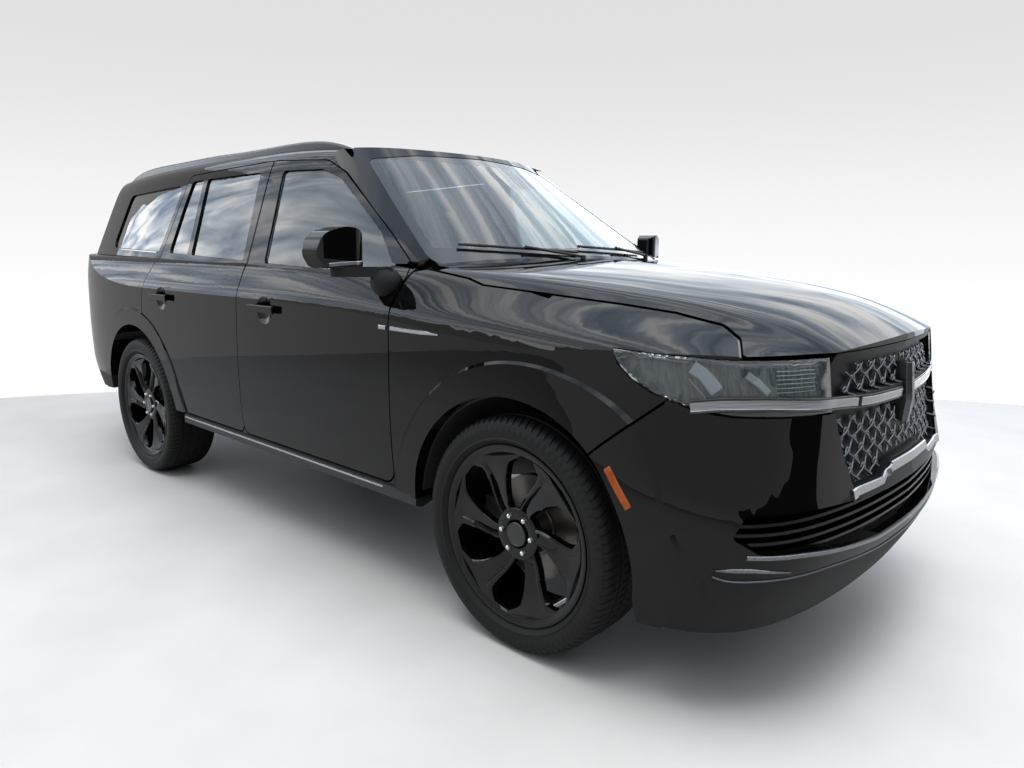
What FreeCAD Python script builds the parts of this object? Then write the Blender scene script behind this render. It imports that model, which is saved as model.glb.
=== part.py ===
import FreeCAD, Part
import math
import os
from FreeCAD import Vector

# A full-size sport utility vehicle. +X forward, +Y left, +Z up, millimetres.
# The origin is on the ground, halfway between the front and rear ends.

# Overall sizes
WHEELBASE = 3112.0
FRONT_OVERHANG = 995.0
REAR_OVERHANG = 1227.0
BODY_WIDTH = 2030.0
ROOF_Z = 1893.0
BELT_Z = 1320.0
SHOULDER_Z = 1165.0
SILL_Z = 450.0
FLOOR_Z = 560.0
BELT_WIDTH = 1886.0
ROOF_EDGE_WIDTH = 1576.0
ROOF_EDGE_Z = 1800.0

# Gaps
PANEL_GAP = 6.0
FIT_GAP = 0.3
GLASS_RECESS = 10.0
GLASS_THICK = 6.0

# Walls
CABIN_HALF_WIDTH = 875.0
DOOR_INNER_Y = 885.0
PILLAR_DEPTH = 42.0
ROOF_DEPTH = 40.0
SCREEN_DEPTH = 60.0
PLUG_TAPER = 0.25

# Wheels
TYRE_RADIUS = 419.0
TYRE_WIDTH = 285.0
RIM_RADIUS = 321.0
TRACK = 1712.0
FRONT_ARCH_RADIUS = 490.0
REAR_ARCH_RADIUS = 505.0
FLARE_WIDTH = 98.0
FLARE_STAND = 8.0
STUD_CIRCLE = 135.0
STUDS = 6
SPOKES = 6

HALF_WIDTH = BODY_WIDTH / 2
FRONT_AXLE_X = (WHEELBASE - FRONT_OVERHANG + REAR_OVERHANG) / 2
REAR_AXLE_X = FRONT_AXLE_X - WHEELBASE
FRONT_END_X = FRONT_AXLE_X + FRONT_OVERHANG
REAR_END_X = REAR_AXLE_X - REAR_OVERHANG
WHEEL_Y = TRACK / 2
AXLE_Z = TYRE_RADIUS


def fx(distance):
    """X of a point this far ahead of the front axle."""
    return FRONT_AXLE_X + distance


def rx(distance):
    """X of a point this far ahead of the rear axle."""
    return REAR_AXLE_X + distance


# Half width of the body side at each height
SIDE_LINE = [
    (250.0, HALF_WIDTH - 50.0),
    (SILL_Z, HALF_WIDTH - 26.0),
    (600.0, HALF_WIDTH - 9.0),
    (850.0, HALF_WIDTH - 1.0),
    (SHOULDER_Z, HALF_WIDTH - 8.0),
    (BELT_Z, BELT_WIDTH / 2),
    (ROOF_EDGE_Z, ROOF_EDGE_WIDTH / 2),
    (ROOF_Z + 100.0, ROOF_EDGE_WIDTH / 2 - 60.0),
]


# Fall of the roof and narrowing of the greenhouse along the car
ROOF_DROP = [(rx(-1500.0), 75.0), (rx(-900.0), 26.0), (rx(-300.0), 3.0), (rx(600.0), -2.0),
             (fx(-1700.0), 0.0), (fx(-1300.0), 18.0), (fx(-900.0), 70.0), (fx(-300.0), 200.0)]
CABIN_INSET = [(rx(-1500.0), 160.0), (rx(-900.0), 75.0), (rx(-300.0), 20.0), (rx(600.0), 0.0),
               (fx(-1700.0), 0.0), (fx(-1300.0), 25.0), (fx(-900.0), 60.0), (fx(-300.0), 110.0)]


def interpolate(table, value):
    """Straight-line value from a table of pairs, held at its ends."""
    if value <= table[0][0]:
        return table[0][1]
    for (a, fa), (b, fb) in zip(table, table[1:]):
        if value <= b:
            return fa + (fb - fa) * (value - a) / (b - a)
    return table[-1][1]


def side_y(x, z):
    narrowing = interpolate(CABIN_INSET, x) if z > BELT_Z else 0.0
    return interpolate(SIDE_LINE, z) - narrowing


# Plain solids
def box(x0, x1, y0, y1, z0, z1):
    low = Vector(min(x0, x1), min(y0, y1), min(z0, z1))
    return Part.makeBox(abs(x1 - x0), abs(y1 - y0), abs(z1 - z0), low)


def rod(start, end, radius):
    axis = end - start
    return Part.makeCylinder(radius, axis.Length, start, axis)


def ball(centre, radius):
    return Part.makeSphere(radius, centre)


def mirrored(shape):
    return shape.mirror(Vector(0, 0, 0), Vector(0, 1, 0))


def both(shape):
    return Part.makeCompound([shape, mirrored(shape)])


def whole(half):
    return half.fuse(mirrored(half)).removeSplitter()


def fused(shapes):
    return shapes[0].multiFuse(shapes[1:]).removeSplitter()


def biggest(shape):
    return max(shape.Solids, key=lambda s: s.Volume)


# Outlines: 2-D points with a corner radius each, drawn in a plane
def wire_from(points, radii, place):
    """Closed wire through 2-D points; place maps a 2-D point into space."""
    count = len(points)
    flat = [Vector(p[0], p[1], 0) for p in points]
    starts, ends, middles = [], [], []
    for i in range(count):
        here, before, after = flat[i], flat[i - 1], flat[(i + 1) % count]
        to_before = (before - here).normalize()
        to_after = (after - here).normalize()
        if radii[i] <= 0:
            starts.append(here)
            ends.append(here)
            middles.append(None)
            continue
        half_angle = to_before.getAngle(to_after) / 2
        reach = radii[i] / math.tan(half_angle)
        centre_way = (to_before + to_after).normalize()
        centre = here + centre_way * (radii[i] / math.sin(half_angle))
        starts.append(here + to_before * reach)
        ends.append(here + to_after * reach)
        middles.append(centre - centre_way * radii[i])
    edges = []
    for i in range(count):
        if middles[i] is not None:
            arc = Part.Arc(place(starts[i]), place(middles[i]), place(ends[i]))
            edges.append(arc.toShape())
        nxt = (i + 1) % count
        if (starts[nxt] - ends[i]).Length > 1e-6:
            edges.append(Part.makeLine(place(ends[i]), place(starts[nxt])))
    return Part.Wire(edges)


def moved_out(points, distances):
    """Each corner moved along its mitre by its own distance, outward if positive."""
    count = len(points)
    area = 0.0
    for i in range(count):
        (a, b), (c, d) = points[i], points[(i + 1) % count]
        area += a * d - c * b
    turn = 1.0 if area > 0 else -1.0
    result = []
    for i in range(count):
        px, pz = points[i]
        ax, az = points[i - 1]
        bx, bz = points[(i + 1) % count]
        la = math.hypot(px - ax, pz - az)
        lb = math.hypot(bx - px, bz - pz)
        na = ((pz - az) / la * turn, -(px - ax) / la * turn)
        nb = ((bz - pz) / lb * turn, -(bx - px) / lb * turn)
        scale = 1.0 / (1.0 + na[0] * nb[0] + na[1] * nb[1])
        step = distances[i] * scale
        result.append((px + (na[0] + nb[0]) * step, pz + (na[1] + nb[1]) * step))
    return result


def side_place(y):
    return lambda p: Vector(p.x, y, p.y)


def front_place(x):
    return lambda p: Vector(x, p.x, p.y)


def top_place(z):
    return lambda p: Vector(p.x, p.y, z)


def radii_of(points, radius):
    return radius if isinstance(radius, list) else [radius] * len(points)


def side_prism(points, radius, y0, y1):
    """Side-view outline run from y0 to y1."""
    wire = wire_from(points, radii_of(points, radius), side_place(y0))
    return Part.Face(wire).extrude(Vector(0, y1 - y0, 0))


def front_prism(points, radius, x0, x1):
    """Front-view outline run from x0 to x1."""
    wire = wire_from(points, radii_of(points, radius), front_place(x0))
    return Part.Face(wire).extrude(Vector(x1 - x0, 0, 0))


def top_prism(points, radius, z0, z1):
    wire = wire_from(points, radii_of(points, radius), top_place(z0))
    return Part.Face(wire).extrude(Vector(0, 0, z1 - z0))


def side_plug(points, radius, clearance):
    """Side-view outline that narrows inboard, so a hinged panel can leave its hole."""
    outer_y, inner_y = HALF_WIDTH + 85.0, 600.0
    radii = radii_of(points, radius)
    out = [clearance + PLUG_TAPER * (outer_y - side_y(x, z)) for x, z in points]
    inn = [clearance - PLUG_TAPER * (side_y(x, z) - inner_y) for x, z in points]
    outer = wire_from(moved_out(points, out), radii, side_place(-outer_y))
    inner = wire_from(moved_out(points, inn), radii, side_place(-inner_y))
    return Part.makeLoft([outer, inner], True, True)


# Free-form surfaces from a grid of control points
def clamped_knots(count, degree):
    inner = count - degree - 1
    knots = [float(i) for i in range(inner + 2)]
    return knots, [degree + 1] + [1] * inner + [degree + 1]


def grid_face(rows, u_degree=3, v_degree=3):
    u_knots, u_mults = clamped_knots(len(rows), u_degree)
    v_knots, v_mults = clamped_knots(len(rows[0]), v_degree)
    surface = Part.BSplineSurface()
    surface.buildFromPolesMultsKnots(
        rows, u_mults, v_mults, u_knots, v_knots, False, False, u_degree, v_degree)
    return surface.toShape()


def sewn(faces):
    shell = Part.makeCompound(faces)
    shell.sewShape()
    solid = Part.Solid(shell.Shells[0] if shell.Shells else shell)
    if solid.Volume < 0:
        solid.reverse()
    return solid


def flattened(point, axis, value):
    copy = Vector(point)
    setattr(copy, axis, value)
    return copy


def closed_to_plane(face, axis, value):
    """Solid between a four-sided face and the plane where the axis has this value."""
    faces = [face]
    for edge in face.Edges:
        a, b = edge.Vertexes[0].Point, edge.Vertexes[-1].Point
        a0, b0 = flattened(a, axis, value), flattened(b, axis, value)
        ring = [edge]
        if (b - b0).Length > 1e-6:
            ring.append(Part.makeLine(b, b0))
        ring.append(Part.makeLine(b0, a0))
        if (a - a0).Length > 1e-6:
            ring.append(Part.makeLine(a0, a))
        faces.append(Part.Face(Part.Wire(Part.__sortEdges__(ring))))
    u0, u1, v0, v1 = face.ParameterRange
    corners = [face.valueAt(u, v) for u, v in ((u0, v0), (u1, v0), (u1, v1), (u0, v1))]
    base = [flattened(c, axis, value) for c in corners]
    faces.append(Part.Face(Part.makePolygon(base + base[:1])))
    return sewn(faces)


# Lower body: the sides, nose and tail as one skirt
LEVELS = [250.0, 380.0, 500.0, 600.0, 700.0, 850.0, 1000.0, 1110.0, 1190.0, 1260.0, 1400.0]
NOSE_SETBACK = [(250.0, 120.0), (380.0, 25.0), (500.0, 0.0), (600.0, 0.0), (700.0, 28.0),
                (850.0, 50.0), (1000.0, 58.0), (1110.0, 72.0), (1190.0, 86.0),
                (1260.0, 100.0), (1400.0, 160.0)]
TAIL_SETBACK = [(250.0, 170.0), (380.0, 110.0), (500.0, 40.0), (600.0, 0.0), (700.0, 2.0),
                (1000.0, 6.0), (1190.0, 12.0), (1260.0, 35.0), (1400.0, 100.0)]
# Plan of the front corner: distance behind the nose, share of the half width
PLAN_HIGH = [(645.0, 0.975), (345.0, 0.892), (115.0, 0.709), (35.0, 0.473), (8.0, 0.227)]
PLAN_LOW = [(680.0, 0.995), (365.0, 0.985), (135.0, 0.860), (42.0, 0.570), (6.0, 0.260)]
# Plan of the rear corner: distance ahead of the tail, inset from the side
TAIL_PLAN = [(0.0, 620.0), (0.0, 360.0), (14.0, 240.0), (80.0, 145.0), (240.0, 75.0),
             (500.0, 25.0)]


def lower_side(z):
    """Half width of the skirt, which runs on upright above the shoulder."""
    return interpolate(SIDE_LINE[:5] + [(1400.0, HALF_WIDTH - 14.0)], z)


def skirt_columns(z):
    nose = FRONT_END_X - interpolate(NOSE_SETBACK, z)
    tail = REAR_END_X + interpolate(TAIL_SETBACK, z)
    side = lower_side(z)
    high = min(max((z - 700.0) / 250.0, 0.0), 1.0)
    points = [(tail, 0.0)]
    points += [(tail + ahead, side - inset) for ahead, inset in TAIL_PLAN]
    points += [(x, side) for x in (rx(-300.0), rx(400.0), rx(1300.0), fx(-900.0), fx(-300.0))]
    for (xh, yh), (xl, yl) in zip(PLAN_HIGH, PLAN_LOW):
        behind = xl + (xh - xl) * high
        share = yl + (yh - yl) * high
        points.append((nose - behind, side * share))
    points.append((nose, 0.0))
    return [Vector(x, -y, z) for x, y in points]


def make_skirt():
    by_level = [skirt_columns(z) for z in LEVELS]
    columns = [list(column) for column in zip(*by_level)]
    face = grid_face(columns)
    faces = [face]
    ends = []
    for edge in face.Edges:
        a, b = edge.Vertexes[0].Point, edge.Vertexes[-1].Point
        if abs(a.z - b.z) < 1e-6:
            faces.append(Part.Face(Part.Wire([edge, Part.makeLine(b, a)])))
        else:
            ends.append(edge)
    low = [min((v.Point for v in e.Vertexes), key=lambda p: p.z) for e in ends]
    high = [max((v.Point for v in e.Vertexes), key=lambda p: p.z) for e in ends]
    ring = ends + [Part.makeLine(low[0], low[1]), Part.makeLine(high[0], high[1])]
    faces.append(Part.Face(Part.Wire(Part.__sortEdges__(ring))))
    return sewn(faces)


# Bonnet, belt and tail top: sections of (half width, height) from outboard to the centre
def cabin_section(x, drop):
    return [Vector(x, -y, z - drop) for y, z in (
        (1130.0, 700.0), (1060.0, 960.0), (1016.0, 1110.0), (1006.0, 1162.0), (996.0, 1195.0),
        (958.0, 1290.0), (940.0, 1325.0), (900.0, 1342.0), (500.0, 1350.0), (0.0, 1352.0))]


def hood_section(x, shoulder_y, shoulder_z, crease_y, crease_z, centre_z):
    fall = shoulder_z - crease_z
    return [Vector(x, -y, z) for y, z in (
        (1130.0, 700.0), (shoulder_y + 55.0, shoulder_z - 200.0),
        (shoulder_y + 10.0, shoulder_z - 52.0), (shoulder_y, shoulder_z),
        (shoulder_y - 12.0, shoulder_z + 30.0),
        (crease_y + 105.0, crease_z + fall * 0.30), (crease_y + 25.0, crease_z - 6.0),
        (crease_y - 30.0, crease_z + 9.0), (crease_y * 0.5, centre_z - 10.0), (0.0, centre_z))]


def make_deck():
    rows = [cabin_section(x, 0.0) for x in (REAR_END_X - 200.0, rx(-600.0), rx(700.0), fx(-800.0))]
    rows.append(hood_section(fx(-450.0), 1000.0, 1140.0, 800.0, 1312.0, 1350.0))
    rows.append(hood_section(fx(-100.0), 992.0, 1122.0, 705.0, 1285.0, 1334.0))
    rows.append(hood_section(fx(250.0), 975.0, 1092.0, 620.0, 1250.0, 1303.0))
    rows.append(hood_section(fx(560.0), 945.0, 1062.0, 582.0, 1212.0, 1262.0))
    rows.append(hood_section(fx(800.0), 905.0, 1030.0, 525.0, 1138.0, 1192.0))
    rows.append(hood_section(FRONT_END_X + 60.0, 850.0, 975.0, 430.0, 1010.0, 1040.0))
    return closed_to_plane(grid_face(rows), "z", 100.0)


# Greenhouse: sections along the car, narrower and lower towards both ends
def roof_section(x):
    drop = interpolate(ROOF_DROP, x)
    inset = interpolate(CABIN_INSET, x)
    belt, edge = BELT_WIDTH / 2, ROOF_EDGE_WIDTH / 2
    lean = (belt - edge) / (ROOF_EDGE_Z - BELT_Z)
    low = BELT_Z - 420.0
    return [Vector(x, -y, z) for y, z in (
        (belt + lean * 420.0, low),
        (belt - inset + lean * 200.0, BELT_Z - 200.0),
        (belt - inset, BELT_Z),
        (belt - inset - lean * 250.0, BELT_Z + 250.0 - drop * 0.3),
        (edge - inset + 22.0, ROOF_EDGE_Z - 60.0 - drop * 0.8),
        (edge - inset - 12.0, ROOF_EDGE_Z + 20.0 - drop),
        (edge - inset - 62.0, ROOF_Z - 34.0 - drop),
        (edge - inset - 190.0, ROOF_Z - 14.0 - drop),
        (350.0, ROOF_Z - 2.0 - drop),
        (0.0, ROOF_Z - drop))]


def make_tunnel():
    rows = [roof_section(x) for x, _ in ROOF_DROP]
    return closed_to_plane(grid_face(rows), "z", 200.0)


# Screens: surfaces that lean and bow in plan
SCREEN_LOW = (fx(-412.0), 1328.0, 2.66e-4)
SCREEN_HIGH = (fx(-1152.0), 1842.0, 4.40e-4)
BACKLIGHT_LOW = (rx(-1150.0), 1320.0, 2.2e-4)
BACKLIGHT_HIGH = (rx(-905.0), 1850.0, 2.6e-4)


def screen_face(low, high, forward):
    """Ruled, bowed surface through two heights, run on past both ends."""
    reach = HALF_WIDTH + 60.0
    rows = []
    for share in (-0.75, 0.5, 1.6):
        x = low[0] + (high[0] - low[0]) * share
        z = low[1] + (high[1] - low[1]) * share
        bow = (low[2] + (high[2] - low[2]) * share) * reach * reach * forward
        bulge = 22.0 * forward if share == 0.5 else 0.0
        rows.append([Vector(x - bow + bulge, -reach, z), Vector(x + bow + bulge, 0, z),
                     Vector(x - bow + bulge, reach, z)])
    return grid_face(rows, 2, 2)


def make_behind_screen():
    return closed_to_plane(screen_face(SCREEN_LOW, SCREEN_HIGH, 1), "x", REAR_END_X - 500.0)


def make_ahead_of_backlight():
    return closed_to_plane(screen_face(BACKLIGHT_LOW, BACKLIGHT_HIGH, -1), "x", FRONT_END_X + 500.0)


def shifted(shape, x, y, z):
    copy = shape.copy()
    copy.translate(Vector(x, y, z))
    return copy


FAR_X0 = REAR_END_X - 400.0
FAR_X1 = FRONT_END_X + 400.0
FAR_Y = HALF_WIDTH + 300.0
FAR_Z = ROOF_Z + 400.0


def right_box(x0, x1, inner_y, outer_y, z0, z1):
    """Box on the car's right side, between two distances from the centre."""
    return box(x0, x1, -outer_y, -inner_y, z0, z1)


def wheel_cylinder(axle_x, radius, inner_y, outer_y):
    start = Vector(axle_x, -outer_y, AXLE_Z)
    return rod(start, Vector(axle_x, -inner_y, AXLE_Z), radius)


skirt = make_skirt()
deck = make_deck()


def arch_flare(axle_x, radius):
    """Disc that stands proud of the skin round an arch, with a sloped rim."""
    outer_y, inner_y = HALF_WIDTH + 50.0, HALF_WIDTH - 90.0
    rim_slope = 1.2
    start = Vector(axle_x, -outer_y, AXLE_Z)
    cone = Part.makeCone(radius - rim_slope * (outer_y - HALF_WIDTH),
                         radius + rim_slope * (HALF_WIDTH - inner_y), outer_y - inner_y, start,
                         Vector(0, 1, 0))
    return cone.common(shifted(skirt, 0, -FLARE_STAND, 0)).common(deck)


# Body volumes, right half
tunnel = make_tunnel()
behind_screen = make_behind_screen()
ahead_of_backlight = make_ahead_of_backlight()
lower_body = skirt.common(deck)
for axle_x, radius in ((FRONT_AXLE_X, FRONT_ARCH_RADIUS), (REAR_AXLE_X, REAR_ARCH_RADIUS)):
    lower_body = lower_body.fuse(arch_flare(axle_x, radius + FLARE_WIDTH))
greenhouse = tunnel.common(behind_screen).common(ahead_of_backlight)
greenhouse = greenhouse.common(box(FAR_X0, FAR_X1, -FAR_Y, 0, BELT_Z - 20.0, FAR_Z))


def tunnel_layer(depth, thickness):
    outer = shifted(tunnel, 0, depth, 0)
    return outer.cut(shifted(tunnel, 0, depth + thickness, 0))


def screen_layer(depth, thickness):
    outer = shifted(behind_screen, -depth, 0, 0)
    return outer.cut(shifted(behind_screen, -depth - thickness, 0, 0))


def backlight_layer(depth, thickness):
    outer = shifted(ahead_of_backlight, depth, 0, 0)
    return outer.cut(shifted(ahead_of_backlight, depth + thickness, 0, 0))


# Cabin and engine bay
CABIN_REAR_X = rx(-1118.0)
FIREWALL_X = fx(-560.0)
FIREWALL_THICK = 60.0
REAR_WHEELHOUSE_Y = 640.0
FRONT_WHEELHOUSE_Y = 470.0
WHEELHOUSE_WALL = 15.0
GATE_DEPTH = 62.0
FLOOR_THICK = 50.0
BAY_HALF_WIDTH = 790.0
HOOD_THICK = 45.0


def cabin_void():
    low = right_box(CABIN_REAR_X, FIREWALL_X - FIREWALL_THICK, 0, CABIN_HALF_WIDTH,
                    FLOOR_Z, BELT_Z + 10.0)
    house = wheel_cylinder(REAR_AXLE_X, REAR_ARCH_RADIUS + WHEELHOUSE_WALL,
                           REAR_WHEELHOUSE_Y - WHEELHOUSE_WALL, CABIN_HALF_WIDTH + 50.0)
    low = low.cut(house)
    high = shifted(tunnel, 0, PILLAR_DEPTH, -ROOF_DEPTH)
    high = high.common(shifted(behind_screen, -SCREEN_DEPTH, 0, 0))
    high = high.common(shifted(ahead_of_backlight, GATE_DEPTH, 0, 0))
    high = high.common(box(FAR_X0, FAR_X1, -FAR_Y, 0, BELT_Z - 30.0, FAR_Z))
    return low.fuse(high)


body = lower_body.fuse(greenhouse)
shell = body.cut(cabin_void())


# Doors
DOOR_BOTTOM_Z = 470.0
DOOR_FRONT_X = fx(-615.0)
DOOR_MIDDLE_X = rx(1290.0)
DOOR_REAR_X = rx(150.0)
DOOR_TOP_Z = 1811.0

BULGE_Z = 730.0
SHUT_LEAN = 0.034


def shut_point(z):
    """Point on the straight, slightly leaning shut line between the doors."""
    return (DOOR_MIDDLE_X + SHUT_LEAN * (z - DOOR_BOTTOM_Z), z)


FRONT_DOOR = [
    shut_point(DOOR_BOTTOM_Z), (DOOR_FRONT_X, DOOR_BOTTOM_Z), (DOOR_FRONT_X, BULGE_Z),
    (DOOR_FRONT_X, SHOULDER_Z), (DOOR_FRONT_X + 8.0, BELT_Z - 30.0), (fx(-652.0), BELT_Z + 15.0),
    (fx(-813.0), 1457.0), (fx(-1008.0), 1593.0), (fx(-1197.0), 1724.0), (fx(-1337.0), 1785.0),
    shut_point(DOOR_TOP_Z), shut_point(SHOULDER_Z), shut_point(BULGE_Z)]
FRONT_DOOR_RADII = [45.0, 60.0, 0, 0, 12.0, 15.0, 0, 0, 150.0, 150.0, 12.0, 0, 0]
REAR_DOOR = [
    (DOOR_REAR_X, DOOR_BOTTOM_Z), shut_point(DOOR_BOTTOM_Z), shut_point(BULGE_Z),
    shut_point(SHOULDER_Z), shut_point(DOOR_TOP_Z), (rx(445.0), DOOR_TOP_Z - 22.0),
    (rx(370.0), 1570.0), (rx(290.0), BELT_Z + 15.0), (rx(215.0), 1235.0),
    (rx(163.0), 1100.0), (DOOR_REAR_X, 1000.0)]
REAR_DOOR_RADII = [0, 45.0, 0, 0, 12.0, 40.0, 0, 60.0, 0, 60.0, 0]


def door_zone(inner_y):
    """Doors are slabs below the belt and reach the frame's inner face above it."""
    low = right_box(FAR_X0, FAR_X1, inner_y, FAR_Y, 300.0, BELT_Z - 29.0)
    return low.fuse(right_box(FAR_X0, FAR_X1, 500.0, FAR_Y, BELT_Z - 29.0, FAR_Z))


def arch_cone(axle_x, radius):
    """Arch flare's edge, wider inboard like the doors' plugs."""
    outer_y, inner_y = HALF_WIDTH + 85.0, 600.0
    outer = radius - PLUG_TAPER * (outer_y - HALF_WIDTH)
    inner = radius + PLUG_TAPER * (HALF_WIDTH - inner_y)
    start = Vector(axle_x, -outer_y, AXLE_Z)
    return Part.makeCone(outer, inner, outer_y - inner_y, start, Vector(0, 1, 0))


REAR_FLARE_RADIUS = REAR_ARCH_RADIUS + FLARE_WIDTH
half_gap = PANEL_GAP / 2
door_space = door_zone(CABIN_HALF_WIDTH)
door_slab = door_zone(DOOR_INNER_Y)
front_opening = side_plug(FRONT_DOOR, FRONT_DOOR_RADII, half_gap).common(door_space)
rear_opening = side_plug(REAR_DOOR, REAR_DOOR_RADII, half_gap).common(door_space)
rear_opening = rear_opening.cut(arch_cone(REAR_AXLE_X, REAR_FLARE_RADIUS - half_gap))
front_door = shell.common(side_plug(FRONT_DOOR, FRONT_DOOR_RADII, -half_gap).common(door_slab))
rear_door = shell.common(side_plug(REAR_DOOR, REAR_DOOR_RADII, -half_gap).common(door_slab))
rear_door = rear_door.cut(arch_cone(REAR_AXLE_X, REAR_FLARE_RADIUS + half_gap))
shell = shell.cut(front_opening).cut(rear_opening)

HINGE_SPANS = [(600.0, 680.0), (1010.0, 1080.0)]
HINGE_DEPTH = 55.0
HINGE_LEAF_REAR = 60.0
HINGE_LEAF_AHEAD = 25.0


def hinge_leaves(outline, radii, edge_x):
    """Door halves of the hinges: pads across the shut gap, just clear of the pillar."""
    pads = [right_box(edge_x - HINGE_LEAF_REAR, edge_x + HINGE_LEAF_AHEAD, DOOR_INNER_Y,
                      DOOR_INNER_Y + HINGE_DEPTH, low, high) for low, high in HINGE_SPANS]
    return side_plug(outline, radii, half_gap - FIT_GAP).common(Part.makeCompound(pads))


front_door = front_door.fuse(hinge_leaves(FRONT_DOOR, FRONT_DOOR_RADII, DOOR_FRONT_X).Solids)
rear_door = rear_door.fuse(hinge_leaves(REAR_DOOR, REAR_DOOR_RADII, DOOR_MIDDLE_X).Solids)


# Windows in the doors and rear quarters
FRONT_WINDOW = [
    (rx(1470.0), BELT_Z - 3.0), (fx(-715.0), BELT_Z - 38.0), (fx(-872.0), 1457.0),
    (fx(-1060.0), 1588.0), (fx(-1215.0), 1694.0), (fx(-1360.0), 1742.0), (rx(1448.0), 1752.0)]
FRONT_WINDOW_RADII = [20.0, 20.0, 0, 0, 120.0, 60.0, 20.0]
REAR_WINDOW = [
    (rx(690.0), BELT_Z + 27.0), (rx(1270.0), BELT_Z + 6.0), (rx(1245.0), 1756.0),
    (rx(675.0), 1756.0)]
REAR_VENT_WINDOW = [
    (rx(395.0), BELT_Z + 36.0), (rx(640.0), BELT_Z + 29.0), (rx(628.0), 1755.0),
    (rx(490.0), 1752.0), (rx(440.0), 1575.0)]
REAR_VENT_RADII = [25.0, 15.0, 15.0, 25.0, 0]
QUARTER_WINDOW = [
    (rx(-600.0), BELT_Z + 66.0), (rx(245.0), BELT_Z + 42.0), (rx(385.0), 1738.0),
    (rx(-470.0), 1716.0)]
QUARTER_RADII = [45.0, 25.0, 45.0, 60.0]
ROOF_PANEL = [(rx(560.0), -470.0), (fx(-1500.0), -455.0), (fx(-1470.0), 0.0), (rx(560.0), 0.0)]
ROOF_PANEL_RADII = [60.0, 60.0, 0, 0]

tunnel_glass = tunnel_layer(GLASS_RECESS, GLASS_THICK)


def window_prism(points, radii, clearance):
    rings = radii_of(points, radii)
    shrunk = moved_out(points, [-clearance] * len(points))
    return side_prism(shrunk, rings, -HALF_WIDTH - 100.0, -550.0)


def side_pane(points, radii):
    return tunnel_glass.common(window_prism(points, radii, FIT_GAP))


front_window = window_prism(FRONT_WINDOW, FRONT_WINDOW_RADII, 0)
rear_windows = [window_prism(REAR_WINDOW, 20.0, 0),
                window_prism(REAR_VENT_WINDOW, REAR_VENT_RADII, 0)]
front_door = front_door.cut(front_window)
rear_door = rear_door.cut(rear_windows[0]).cut(rear_windows[1])
shell = shell.cut(window_prism(QUARTER_WINDOW, QUARTER_RADII, 0))
front_door_glass = side_pane(FRONT_WINDOW, FRONT_WINDOW_RADII)
rear_door_glass = Part.makeCompound(
    [side_pane(REAR_WINDOW, 20.0), side_pane(REAR_VENT_WINDOW, REAR_VENT_RADII)])
quarter_glass = side_pane(QUARTER_WINDOW, QUARTER_RADII)

# Windscreen, roof glass and liftgate glass
SCREEN_OUTLINE = [(0.0, 1361.0), (-560.0, 1345.0), (-812.0, 1328.0), (-622.0, 1791.0),
                  (-380.0, 1822.0), (0.0, 1833.0)]
SCREEN_RADII = [0, 0, 30.0, 60.0, 0, 0]
BACKLIGHT_OUTLINE = [(0.0, 1352.0), (-690.0, 1358.0), (-610.0, 1755.0), (0.0, 1772.0)]
BACKLIGHT_RADII = [0, 60.0, 70.0, 0]


def pane_prism(points, radii, clearance, x0, x1):
    """Front-view prism of the right half of a pane that crosses the centre."""
    steps = [-clearance] * len(points)
    shrunk = moved_out(points, steps)
    shrunk = [(0.0 if abs(points[i][0]) < 1e-6 else p[0], p[1]) for i, p in enumerate(shrunk)]
    return front_prism(shrunk, radii, x0, x1)


screen_prism = pane_prism(SCREEN_OUTLINE, SCREEN_RADII, 0, fx(-1500.0), fx(0.0))
shell = shell.cut(screen_prism.common(screen_layer(-40.0, SCREEN_DEPTH + 60.0)))
windshield = screen_layer(4.0, GLASS_THICK).common(
    pane_prism(SCREEN_OUTLINE, SCREEN_RADII, FIT_GAP, fx(-1500.0), fx(0.0)))
roof_prism = top_prism(ROOF_PANEL, ROOF_PANEL_RADII, ROOF_Z - 120.0, ROOF_Z + 60.0)
roof_seat = shifted(tunnel, 0, 0, -4.0).cut(shifted(tunnel, 0, 0, -12.0))
shell = shell.cut(roof_prism)
roof_glass = roof_seat.common(roof_prism)

# Liftgate and the drop-down tailgate below it
GATE_TOP_X = rx(-868.0)
GATE_SPLIT_Z = 955.0
TAILGATE_BOTTOM_Z = 700.0
REAR_BUMPER_TOP_Z = 690.0
GATE_OUTLINE = [(0.0, GATE_SPLIT_Z), (-868.0, GATE_SPLIT_Z), (-872.0, 1180.0), (-838.0, BELT_Z),
                (-768.0, 1560.0), (-672.0, 1790.0), (-600.0, 1960.0), (0.0, 1960.0)]
GATE_RADII = [0, 10.0, 0, 60.0, 0, 0, 0, 0]
TAILGATE_OUTLINE = [(0.0, TAILGATE_BOTTOM_Z), (-850.0, TAILGATE_BOTTOM_Z), (-868.0, GATE_SPLIT_Z),
                    (0.0, GATE_SPLIT_Z)]
TAILGATE_RADII = [0, 30.0, 10.0, 0]


TAIL_LINE = [(SHOULDER_Z, REAR_END_X + 10.0), (BELT_Z, BACKLIGHT_LOW[0]),
             (BACKLIGHT_HIGH[1], BACKLIGHT_HIGH[0])]


def rear_plug(points, radii, clearance, front_x):
    """Rear-view outline that narrows forward, for the gates in the tail."""
    outer_x = REAR_END_X - 60.0
    out = [clearance + PLUG_TAPER * (interpolate(TAIL_LINE, z) - outer_x) for _, z in points]
    inn = [clearance - PLUG_TAPER * (front_x - interpolate(TAIL_LINE, z)) for _, z in points]
    rings = []
    for steps, x in ((out, outer_x), (inn, front_x)):
        ring = moved_out(points, steps)
        ring = [(0.0 if abs(points[i][0]) < 1e-6 else p[0], p[1]) for i, p in enumerate(ring)]
        rings.append(wire_from(ring, radii, front_place(x)))
    return Part.makeLoft(rings, True, True)


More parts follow.
